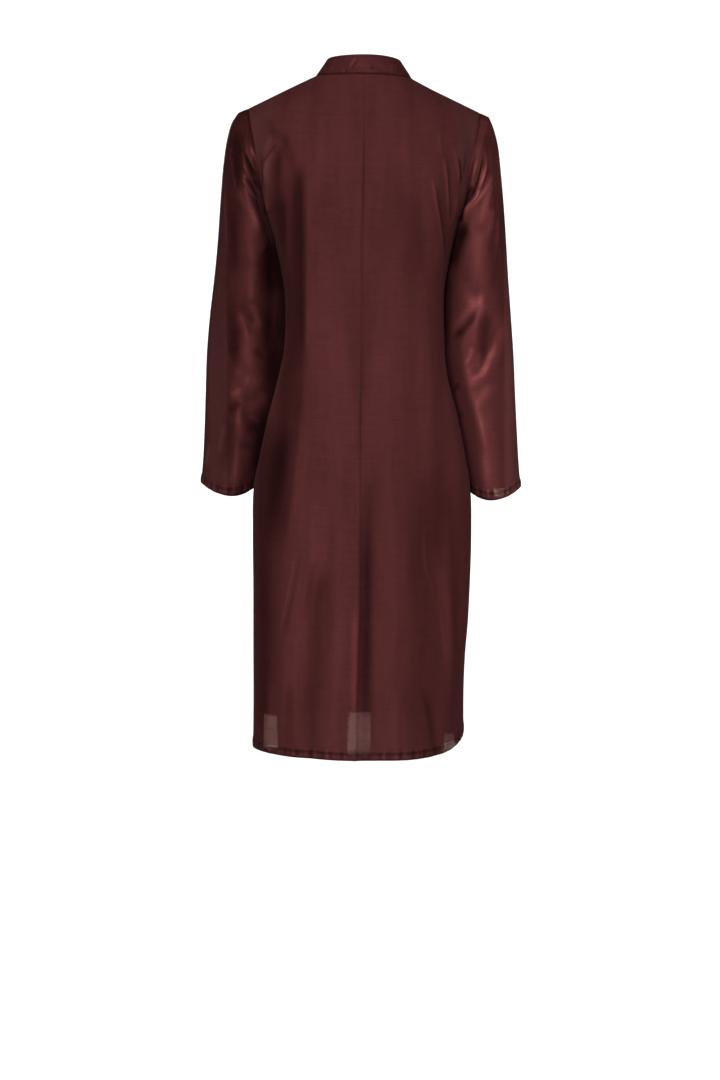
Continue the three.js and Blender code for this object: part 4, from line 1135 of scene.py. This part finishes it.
def fill_inputs(tree, node, **values):
    """Fills a node's inputs by name, with an underscore for each space."""
    for name, value in values.items():
        fill(tree, node.inputs[name.replace("_", " ")], value)


def add(tree, kind, **values):
    """A new node with its settings and its inputs filled in."""
    node = tree.nodes.new(kind)
    for name, value in values.items():
        if hasattr(node, name):
            setattr(node, name, value)
        else:
            fill_inputs(tree, node, **{name: value})
    return node


def maths(tree, operation, *values, clamp=False):
    node = add(tree, "ShaderNodeMath", operation=operation, use_clamp=clamp)
    for socket, value in zip(node.inputs, values):
        fill(tree, socket, value)
    return node.outputs[0]


def blend(tree, factor, a, b, kind="MIX"):
    """A mix of two colours."""
    node = add(tree, "ShaderNodeMix", data_type="RGBA", blend_type=kind)
    for socket, value in zip((node.inputs[0], node.inputs[6], node.inputs[7]), (factor, a, b)):
        fill(tree, socket, value)
    return node.outputs[2]


def silk_weave_group():
    """Threads with slubs along the cloth's width, fine crossing threads and a soft cloudiness."""
    group = bpy.data.node_groups.new("silk_weave", "ShaderNodeTree")
    for name, default in (("Slub Length", 0.042), ("Slub Width", 0.0026), ("Cloud Size", 0.12)):
        made = group.interface.new_socket(name=name, in_out="INPUT", socket_type="NodeSocketFloat")
        made.default_value = default
    for name in ("Shade", "Height", "Cloud"):
        group.interface.new_socket(name=name, in_out="OUTPUT", socket_type="NodeSocketFloat")
    slub_length, slub_width, cloud_size = group.nodes.new("NodeGroupInput").outputs[:3]
    end = group.nodes.new("NodeGroupOutput")
    place = add(group, "ShaderNodeSeparateXYZ", Vector=group.nodes.new("ShaderNodeTexCoord").outputs["UV"])
    across, up = (maths(group, "DIVIDE", place.outputs[axis], UV_PER_METRE) for axis in "XY")

    def streaks(length, width, detail, seed):
        at = add(
            group, "ShaderNodeCombineXYZ",
            X=maths(group, "DIVIDE", across, length), Y=maths(group, "DIVIDE", up, width), Z=seed,
        )
        noise = add(
            group, "ShaderNodeTexNoise", Vector=at.outputs[0], Scale=1.0, Detail=detail, Roughness=0.55
        )
        return noise.outputs["Fac"]

    def times(socket, factor):
        return maths(group, "MULTIPLY", socket, factor)

    slubs = streaks(slub_length, slub_width, 3.0, 0.0)
    warp = streaks(times(slub_width, 0.9), times(slub_length, 0.6), 2.0, 7.3)
    cloud = streaks(times(cloud_size, 0.25), times(cloud_size, 2.0), 2.0, 3.1)
    threads = maths(group, "ADD", times(slubs, 0.7), times(warp, 0.3))
    shade = add(
        group, "ShaderNodeMapRange", Value=threads, From_Min=0.3, From_Max=0.7, To_Min=0.0, To_Max=1.0
    )
    fill_inputs(group, end, Shade=shade.outputs[0], Height=threads, Cloud=cloud)
    return group


def principled(name):
    """A new material, its node tree and its shader."""
    material = bpy.data.materials.new(name)
    material.use_nodes = True
    return material, material.node_tree, material.node_tree.nodes["Principled BSDF"]


def weave(tree, strength, distance, **sizes):
    """The weave's shade and cloud, and the normal that its bump gives."""
    group = bpy.data.node_groups.get("silk_weave") or silk_weave_group()
    node = add(tree, "ShaderNodeGroup", node_tree=group, **sizes)
    bump = add(tree, "ShaderNodeBump", Strength=strength, Distance=distance, Height=node.outputs["Height"])
    return node.outputs["Shade"], node.outputs["Cloud"], bump.outputs[0]


def toned(colour, factor):
    return tuple(min(1.0, channel * factor) for channel in colour) + (1.0,)


def silk_material(look):
    """The outer cloth: lustrous and slubbed, with painted shade in its folds and painted highlights on its
    ridges, and sheer where it hangs alone, with painted light coming through there.
    """
    material, tree, shader = principled("maroon_silk")
    shade, cloud, normal = weave(tree, 0.55, 0.0005)
    tone, unlined, sheer, lustre = (
        add(tree, "ShaderNodeAttribute", attribute_name=name).outputs["Fac"]
        for name in ("tone", "unlined", "sheer", "lustre")
    )
    red, green, blue = look.cloth
    # Painted light: unlined cloth is greyer, as if the pale surround showed through it.
    painted_backlight_grey = (red * 0.98, green * 1.45, blue * 1.45, 1.0)
    base = blend(tree, maths(tree, "MULTIPLY", unlined, 0.75), toned(look.cloth, 1.0), painted_backlight_grey)
    lit = blend(tree, shade, toned(look.cloth, 0.72), toned(look.cloth, 1.32))
    woven = blend(tree, 0.5, base, lit)
    clouded = blend(tree, 1.0, woven, maths(tree, "MULTIPLY_ADD", cloud, 0.8, 0.6), "MULTIPLY")
    # Painted light: a much brighter colour where light from behind comes through the sheer places, besides
    # the see-through alpha.
    lit_through = blend(tree, shade, toned(look.cloth, 2.4), (red * 4.8, green * 11, blue * 9.4, 1.0))
    thin = blend(tree, maths(tree, "MULTIPLY", sheer, 0.6), clouded, lit_through)
    # Painted shading: the colour is multiplied by two to the power of the attribute, darker in creases and
    # seams, lighter on ridges.
    held = maths(tree, "MINIMUM", maths(tree, "MAXIMUM", tone, -2.0), 1.4)
    matt = maths(tree, "MULTIPLY_ADD", lustre, -0.16, look.roughness + 0.2)
    open_threads = maths(tree, "MULTIPLY_ADD", shade, 0.25, 0.875)
    through = maths(tree, "MULTIPLY", sheer, -look.sheer)
    fill_inputs(
        tree, shader,
        Base_Color=blend(tree, 1.0, thin, maths(tree, "POWER", 2.0, held), "MULTIPLY"),
        Roughness=maths(tree, "MULTIPLY_ADD", shade, -0.08, matt),
        Metallic=maths(tree, "MULTIPLY_ADD", lustre, look.gleam * 0.8, look.gleam * 0.2),
        Alpha=maths(tree, "MULTIPLY_ADD", through, open_threads, 1.0, clamp=True),
        Normal=normal,
        Sheen_Weight=look.sheen, Sheen_Roughness=0.4, Sheen_Tint=(0.9, 0.5, 0.48, 1),
        Specular_IOR_Level=0.0, Specular_Tint=(0.06, 0.02, 0.02, 1),
    )
    return material


def lining_material(look):
    """The lining: plain, matt and dark."""
    material, tree, shader = principled("maroon_lining")
    shade, _, normal = weave(tree, 0.2, 0.0004, Slub_Length=0.01, Slub_Width=0.0008)
    colour = blend(tree, shade, toned(look.lining, 0.85), toned(look.lining, 1.2))
    fill_inputs(tree, shader, Base_Color=colour, Normal=normal, Roughness=0.75, Specular_IOR_Level=0.0)
    return material


def mottled(name, dark, light, rough, specular, rougher=0, **noise):
    """A material whose colour wavers between two over the piece, and whose roughness can rise with it."""
    material, tree, shader = principled(name)
    place = tree.nodes.new("ShaderNodeTexCoord").outputs["Object"]
    share = add(tree, "ShaderNodeTexNoise", Vector=place, **noise).outputs["Fac"]
    if rougher:
        rough = maths(tree, "MULTIPLY_ADD", share, rougher, rough)
    fill_inputs(
        tree, shader, Base_Color=blend(tree, share, dark, light), Roughness=rough, Specular_IOR_Level=specular
    )
    return material


def thread_material(look):
    """Sewing thread, twisted along its length."""
    dark, light = toned(look.thread, 0.7), toned(look.thread, 1.5)
    return mottled("maroon_thread", dark, light, 0.5, 0.1, Scale=1400.0, Detail=1.0)


def button_material(look):
    """Buttons with a faint swirl."""
    dark, light = toned(look.button, 0.6), toned(look.button, 1.7)
    swirl = {"Scale": 260.0, "Detail": 4.0, "Distortion": 1.6}
    return mottled("button_shell", dark, light, 0.42, 0.12, rougher=0.2, **swirl)


def floor_material():
    """The plain pale floor."""
    dark, light = (0.9, 0.9, 0.89, 1), (0.93, 0.93, 0.92, 1)
    return mottled("pale_floor", dark, light, 0.8, 0.5, Scale=3.0, Detail=3.0)


def fitted(context, name, make):
    """The dress's sizes, and a material that is made once."""
    return context.scene.dress_sizes, bpy.data.materials.get(name) or make(context.scene.dress_look)


# Operators


class DRESS_OT_lining(bpy.types.Operator):
    """Build the sleeveless lining"""

    bl_idname = "dress.lining"
    bl_label = "Lining"

    def execute(self, context):
        sizes, matt = fitted(context, "maroon_lining", lining_material)
        for face, side in PANELS:
            node = f"lining_{face}_{side}"
            grid, flat = lining_grid(face, side, *LINING_STEPS)
            thickness = sizes.cloth * LINING_LAYERS
            make_sheet(f"{node}_cloth", node, "lining_cloth", matt, thickness, grid, flat, {})
        return {"FINISHED"}


class DRESS_OT_body(bpy.types.Operator):
    """Build the two back panels and the two front panels"""

    bl_idname = "dress.body"
    bl_label = "Body Panels"

    def execute(self, context):
        sizes, silk = fitted(context, "maroon_silk", silk_material)
        for face, side in PANELS:
            node = f"{face}_{side}"
            grid, _, values, flat = body_grid(face, side, *BODY_STEPS[face], sizes)
            make_sheet(f"{node}_cloth", node, "outer_cloth", silk, sizes.cloth, grid, flat, values)
        return {"FINISHED"}


class DRESS_OT_sleeves(bpy.types.Operator):
    """Build the two set-in sleeves"""

    bl_idname = "dress.sleeves"
    bl_label = "Sleeves"

    def execute(self, context):
        sizes, silk = fitted(context, "maroon_silk", silk_material)
        for side, way in (("left", 1), ("right", -1)):
            node = f"sleeve_{side}"
            grid, values, flat = sleeve_grid(side, *SLEEVE_STEPS, sizes)
            middle = way * (SLEEVE[side + "_out"].mean() + SLEEVE[side + "_in"].mean()) / 2 * MM, -30 * MM
            make_sheet(
                f"{node}_cloth", node, "outer_cloth", silk, sizes.cloth, grid, flat, values, middle, ring=True
            )
        return {"FINISHED"}


def band_values(tone, lustre):
    """What the cloth's material reads on a band of it, which is nowhere sheer or unlined."""
    nothing = np.zeros(tone.shape)
    return {"tone": tone, "sheer": nothing, "unlined": nothing, "lustre": nothing + lustre}


def collar_grid(angle, up):
    """The collar's smooth form and its normals, by angle from the centre back and share of its height."""
    s, c = np.sin(angle), np.cos(angle)
    depth = np.abs(c)
    (low_y, low_z), (high_y, high_z) = (
        [np.where(c >= 0, back, front) for back, front in zip(line["back"], line["front"])]
        for line in (NECK, COLLAR_TOP)
    )
    end = smooth((np.abs(angle) / np.pi - 0.86) / 0.14)
    notch = np.sign(angle) * end * mix(0.3, COLLAR_NOTCH / 2, up**2)
    x = mix(NECK_HALF_WIDTH, COLLAR_TOP_HALF_WIDTH, up) * s + notch
    y = mix(SHOULDER_NECK[1], mix(low_y, high_y, up), depth)
    z = mix(mix(0, COLLAR_TOP_SIDE_Z, up), mix(low_z, high_z, up), depth) + COLLAR_LIFT * (1 - up)
    form = points(x, y, z)
    return form, grid_normals(form, points(x, y + 8, 0))


class DRESS_OT_collar(bpy.types.Operator):
    """Build the standing band collar"""

    bl_idname = "dress.collar"
    bl_label = "Collar"

    def execute(self, context):
        sizes, silk = fitted(context, "maroon_silk", silk_material)
        columns, rows = COLLAR_STEPS
        form, normals = collar_grid(
            np.linspace(-np.pi, np.pi, columns)[None, :], np.linspace(0, 1, rows)[:, None]
        )
        high, across = distance_along(form, 0), distance_along(form, 1)
        from_back = across - across[:, columns // 2, None]
        height, tone = crease_field(COLLAR_CREASES, from_back, high)
        height = height + 0.25 * np.sin(from_back / 7 + np.sin(from_back / 19)) * bell(high, 7)
        # Grooves and painted shade along the two stitch lines.
        for distance in (high - COLLAR_STITCHES, high[-1:] - high - COLLAR_STITCHES):
            height = height - 0.3 * bell(distance, 0.8)
            tone = tone - 0.3 * bell(distance, 1.2)
        # Painted shade along the collar's foot, where it meets the neck.
        tone = tone - 1.6 * bell(high, 1.6)
        grid = settled(form + normals * height[..., None])
        make_sheet(
            "collar_band", "collar", "outer_cloth", silk, sizes.collar_cloth, grid, (across, high),
            band_values(tone, 0.5), rim=0.0005,
        )
        return {"FINISHED"}


def placket_grid(columns, rows, sizes):
    """The placket's points and normals, over the fronts, with its painted shading and its places on the
    cloth.
    """
    level = even_levels("front", 0, SHOULDER - 0.03, rows)[:, None]
    places = np.linspace(-PLACKET_HALF_WIDTH, PLACKET_HALF_WIDTH, columns)
    share = np.stack([share_at("front", level[:, 0], x) for x in places], axis=1)
    level = np.broadcast_to(level, share.shape)
    form = body_form(share, level, "front", "left")
    normals = panel_normals(form, level)
    height, tone = body_height(form, np.abs(share), level, "front", "left")
    up, across = distance_along(form, 0), distance_along(form, 1)
    # Grooves and painted shade along the two stitch lines.
    for distance in (across - PLACKET_STITCHES, across[:, -1:] - across - PLACKET_STITCHES):
        height = height - 0.25 * bell(distance, 0.8)
        tone = tone - 0.3 * bell(distance, 1.2)
    height = height + CLOTH_OUT + PLACKET_OUT + hem_work(up, across, sizes)
    return settled(form + normals * height[..., None]), normals, tone, (across, up)


class DRESS_OT_placket(bpy.types.Operator):
    """Build the button strip down the front"""

    bl_idname = "dress.placket"
    bl_label = "Placket"

    def execute(self, context):
        sizes, silk = fitted(context, "maroon_silk", silk_material)
        grid, _, tone, flat = placket_grid(*PLACKET_STEPS, sizes)
        make_sheet(
            "placket_band", "placket", "outer_cloth", silk, sizes.cloth * PLACKET_LAYERS, grid, flat,
            band_values(tone, 0.3),
        )
        return {"FINISHED"}


class DRESS_OT_buttons(bpy.types.Operator):
    """Build the buttons and sew them on"""

    bl_idname = "dress.buttons"
    bl_label = "Buttons"

    def execute(self, context):
        sizes, shell = fitted(context, "button_shell", button_material)
        model = self.model(sizes.button)
        for number in range(1, BUTTON_COUNT + 1):
            piece = model.copy()
            piece.data = model.data.copy()
            piece.name = piece.data.name = f"button_{number}_shell"
            context.collection.objects.link(piece)
            self.seat(piece, BUTTON_FIRST_Z - (number - 1) * BUTTON_SPACING)
            dress_piece(piece, shell, "button", f"button_{number}")
        bpy.data.objects.remove(model)
        return {"FINISHED"}

    def model(self, radius):
        """One button, lying flat with its face up."""
        deselect()
        bpy.ops.mesh.primitive_cylinder_add(
            vertices=40, radius=radius, depth=radius * 0.4, location=(0, 0, 0)
        )
        button = bpy.context.object
        bpy.ops.object.mode_set(mode="EDIT")
        bpy.ops.mesh.select_mode(type="FACE")
        bpy.ops.mesh.select_all(action="DESELECT")
        bpy.ops.object.mode_set(mode="OBJECT")
        for face in button.data.polygons:
            face.select = face.normal.z > 0.9
        bpy.ops.object.mode_set(mode="EDIT")
        bpy.ops.mesh.inset(thickness=radius * 0.2, depth=0)
        bpy.ops.mesh.inset(thickness=radius * 0.08, depth=-radius * 0.1)
        bpy.ops.object.mode_set(mode="OBJECT")
        for dx, dy in ((1, 1), (1, -1), (-1, 1), (-1, -1)):
            self.drill(button, dx * radius * 0.2, dy * radius * 0.2, radius * 0.09)
        soften_edges(button, radius * 0.06, 3, 50)
        bpy.ops.object.shade_smooth_by_angle(angle=np.radians(35))
        return button

    def drill(self, button, x, y, radius):
        """Cuts one thread hole through the button."""
        deselect()
        bpy.ops.mesh.primitive_cylinder_add(vertices=12, radius=radius, depth=radius * 40, location=(x, y, 0))
        drill = bpy.context.object
        make_active(button)
        apply_modifier(button, "BOOLEAN", object=drill, operation="DIFFERENCE", solver="EXACT")
        bpy.data.objects.remove(drill)

    def seat(self, piece, z):
        """Puts a button's points on the placket at a height, facing out of it."""
        centre, normal = button_place(z)
        across = unit(np.cross([0, 0, 1], normal))
        up = np.cross(normal, across)
        start = np.zeros(len(piece.data.vertices) * 3)
        piece.data.vertices.foreach_get("co", start)
        x, y, high = start.reshape(-1, 3).T[..., None]
        placed = centre + x * across + y * up + (high + BUTTON_LIFT * MM) * normal
        piece.data.vertices.foreach_set("co", placed.ravel())
        piece.data.update()


def button_place(z):
    """The middle of a button's seat on the placket, in metres, and the way that it faces."""
    level = np.linspace(0, SHOULDER, 4000)
    heights = np.where(
        level <= UNDERARM, along(BODY["z"], np.minimum(level, UNDERARM)),
        along(YOKE["front_z"], np.maximum(level - UNDERARM, 0)),
    )
    at = np.interp(z, heights, level)
    share, levels = np.meshgrid([-0.01, 0.0, 0.01], [at - 0.05, at, at + 0.05])
    form = body_form(share, levels, "front", "left")
    normals = grid_normals(form, points(0, form[..., 1], 1))
    height, _ = body_height(form, np.abs(share), levels, "front", "left")
    return (form[1, 1] + normals[1, 1] * (height[1, 1] + BUTTON_SEAT)) * MM, normals[1, 1]


def line_at(grid, up, height):
    """The points of a grid's columns at a distance up from its first row."""
    return np.array([
        [np.interp(height, up[:, column], grid[:, column, axis]) for axis in range(3)]
        for column in range(grid.shape[1])
    ])


def stitch_lines(sizes):
    """The lines that are stitched: names, and points and outward normals along each."""
    height = sizes.hem / MM - HEM_STITCHES
    lines = []
    for face, side in PANELS:
        grid, normals, _, (_, up) = body_grid(face, side, *BODY_STEPS[face], sizes)
        lines.append(("hem", line_at(grid, up, height), line_at(normals, up, height)))
    for side in ("left", "right"):
        grid, _, (_, from_cuff) = sleeve_grid(side, *SLEEVE_STEPS, sizes)
        out = unit(grid - grid[:, :-1].mean(1, keepdims=True))
        line, out = (line_at(values[::-1], from_cuff[::-1], height) for values in (grid, out))
        lines.append(("cuff", line, unit(out * np.array([1, 1, 0.05]))))
    grid, normals, _, _ = placket_grid(*PLACKET_STEPS, sizes)
    lines += [("placket", grid[:, column], normals[:, column]) for column in (1, -2)]
    angle = np.linspace(-np.pi * 0.99, np.pi * 0.99, COLLAR_STEPS[0])[None, :]
    form, out = collar_grid(angle, np.array([[0.0], [0.1], [0.9], [1.0]]))
    lines += [("collar", settled(form + out * 0.75)[row], out[row]) for row in (1, 2)]
    return lines


class DRESS_OT_stitching(bpy.types.Operator):
    """Sew the hems, cuffs, placket and collar"""

    bl_idname = "dress.stitching"
    bl_label = "Stitching"

    def execute(self, context):
        sizes, thread = fitted(context, "maroon_thread", thread_material)
        corners, faces = self.model(sizes)
        by_name = {}
        for name, line, out in stitch_lines(sizes):
            by_name.setdefault(name, []).extend(self.run(line * MM, out, sizes))
        for name, places in by_name.items():
            dress_piece(self.joined(f"{name}_stitches", corners, faces, places), thread, "outer_cloth")
        return {"FINISHED"}

    def model(self, sizes):
        """One stitch along X, as its corners and faces."""
        deselect()
        bpy.ops.mesh.primitive_uv_sphere_add(segments=6, ring_count=4, radius=0.5, location=(0, 0, 0))
        stitch = bpy.context.object
        corners = np.array([vertex.co[:] for vertex in stitch.data.vertices])[:, [2, 0, 1]]
        corners *= np.array([sizes.stitch * 0.82, sizes.thread, sizes.thread])
        faces = [tuple(face.vertices) for face in stitch.data.polygons]
        bpy.data.objects.remove(stitch)
        return corners, faces

    def run(self, line, out, sizes):
        """A place, a direction and an outward normal for each stitch of a line."""
        length = distance_along(line, 0)
        at = np.arange(sizes.stitch, length[-1] - sizes.stitch, sizes.stitch * STITCH_PITCH)

        def read(values, places):
            return np.stack([np.interp(places, length, values[:, axis]) for axis in range(3)], axis=1)

        centre = read(line, at)
        direction = unit(read(line, at + sizes.stitch * 0.3) - centre)
        normal = unit(read(out, at))
        normal = unit(normal - direction * dot(normal, direction))
        return list(zip(centre + normal * (sizes.cloth / 2 + sizes.thread * 0.3), direction, normal))

    def joined(self, name, corners, faces, places):
        """All stitches of one kind as one mesh."""
        vertices, polygons = [], []
        for number, (centre, direction, normal) in enumerate(places):
            vertices.append(centre + corners @ np.array([direction, np.cross(normal, direction), normal]))
            polygons += [tuple(number * len(corners) + corner for corner in face) for face in faces]
        mesh = bpy.data.meshes.new(name)
        mesh.from_pydata(np.concatenate(vertices).tolist(), [], polygons)
        mesh.update()
        piece = bpy.data.objects.new(name, mesh)
        bpy.context.collection.objects.link(piece)
        make_active(piece)
        bpy.ops.object.shade_smooth()
        return piece


LAMP_AIM = (0, 0, -0.55)  # the middle of the dress


class DRESS_OT_stage(bpy.types.Operator):
    """Set up the floor, the soft lights and the camera"""

    bl_idname = "dress.stage"
    bl_label = "Studio Stage"

    def execute(self, context):
        scene, stage = context.scene, context.scene.dress_stage
        deselect()
        bpy.ops.mesh.primitive_grid_add(x_subdivisions=100, y_subdivisions=100, size=22, location=(0, 0, 0))
        floor = context.object
        floor.name = "studio_floor"
        for vertex in floor.data.vertices:
            vertex.co.z = stage.floor + 0.32 * max(0.0, vertex.co.xy.length - stage.cove) ** 2
        floor.data.materials.append(bpy.data.materials.get("pale_floor") or floor_material())
        bpy.ops.object.shade_smooth()

        scene.world = scene.world or bpy.data.worlds.new("Studio")
        scene.world.use_nodes = True
        background = scene.world.node_tree.nodes["Background"]
        background.inputs["Color"].default_value = (1.0, 0.998, 0.993, 1)
        background.inputs["Strength"].default_value = stage.surround

        self.light(context, "Key", (0.7, 4.3, 1.1), 1.6, stage.key)
        self.light(context, "Fill", (-3.0, 2.2, 0.2), 2.4, stage.fill)
        self.light(context, "Front fill", (0.6, -4.2, 0.8), 2.4, stage.key * 0.5)

        camera = bpy.data.objects.new("Camera", bpy.data.cameras.new("Camera"))
        context.collection.objects.link(camera)
        camera.data.lens, camera.data.sensor_width = stage.lens, 36
        camera.location = (stage.aside, stage.distance, stage.height)
        camera.rotation_euler = (np.radians(90), 0, np.radians(180))
        scene.camera = camera
        scene.view_settings.view_transform = "Standard"
        return {"FINISHED"}

    def light(self, context, name, place, size, power):
        """A large square lamp that faces the middle of the dress."""
        lamp = bpy.data.lights.new(name, "AREA")
        lamp.size, lamp.energy = size, power
        holder = bpy.data.objects.new(name, lamp)
        context.collection.objects.link(holder)
        holder.location = place
        holder.rotation_mode = "QUATERNION"
        aim = Vector(np.subtract(LAMP_AIM, place))
        holder.rotation_quaternion = aim.to_track_quat("-Z", "Y")


class DRESS_PT_panel(bpy.types.Panel):
    """Sizes, colours and steps of the shirt dress"""

    bl_idname = "DRESS_PT_panel"
    bl_label = "Shirt Dress"
    bl_space_type = "VIEW_3D"
    bl_region_type = "UI"
    bl_category = "Shirt Dress"

    def draw(self, context):
        for group in (context.scene.dress_sizes, context.scene.dress_look, context.scene.dress_stage):
            box = self.layout.box()
            for name in group.bl_rna.properties.keys():
                if name not in {"rna_type", "name"}:
                    box.prop(group, name)
        for step in STEPS:
            self.layout.operator(step.bl_idname)


STEPS = (
    DRESS_OT_lining,
    DRESS_OT_body,
    DRESS_OT_sleeves,
    DRESS_OT_placket,
    DRESS_OT_collar,
    DRESS_OT_buttons,
    DRESS_OT_stitching,
    DRESS_OT_stage,
)
CLASSES = (DressSizes, DressLook, DressStage) + STEPS + (DRESS_PT_panel,)


def register():
    for item in CLASSES:
        bpy.utils.register_class(item)
    bpy.types.Scene.dress_sizes = PointerProperty(type=DressSizes)
    bpy.types.Scene.dress_look = PointerProperty(type=DressLook)
    bpy.types.Scene.dress_stage = PointerProperty(type=DressStage)


def unregister():
    del bpy.types.Scene.dress_stage, bpy.types.Scene.dress_look, bpy.types.Scene.dress_sizes
    for item in reversed(CLASSES):
        bpy.utils.unregister_class(item)


def main():
    register()
    bpy.ops.dress.lining()
    bpy.ops.dress.body()
    bpy.ops.dress.sleeves()
    bpy.ops.dress.placket()
    bpy.ops.dress.collar()
    bpy.ops.dress.buttons()
    bpy.ops.dress.stitching()
    bpy.ops.dress.stage()


if __name__ == "__main__":
    main()
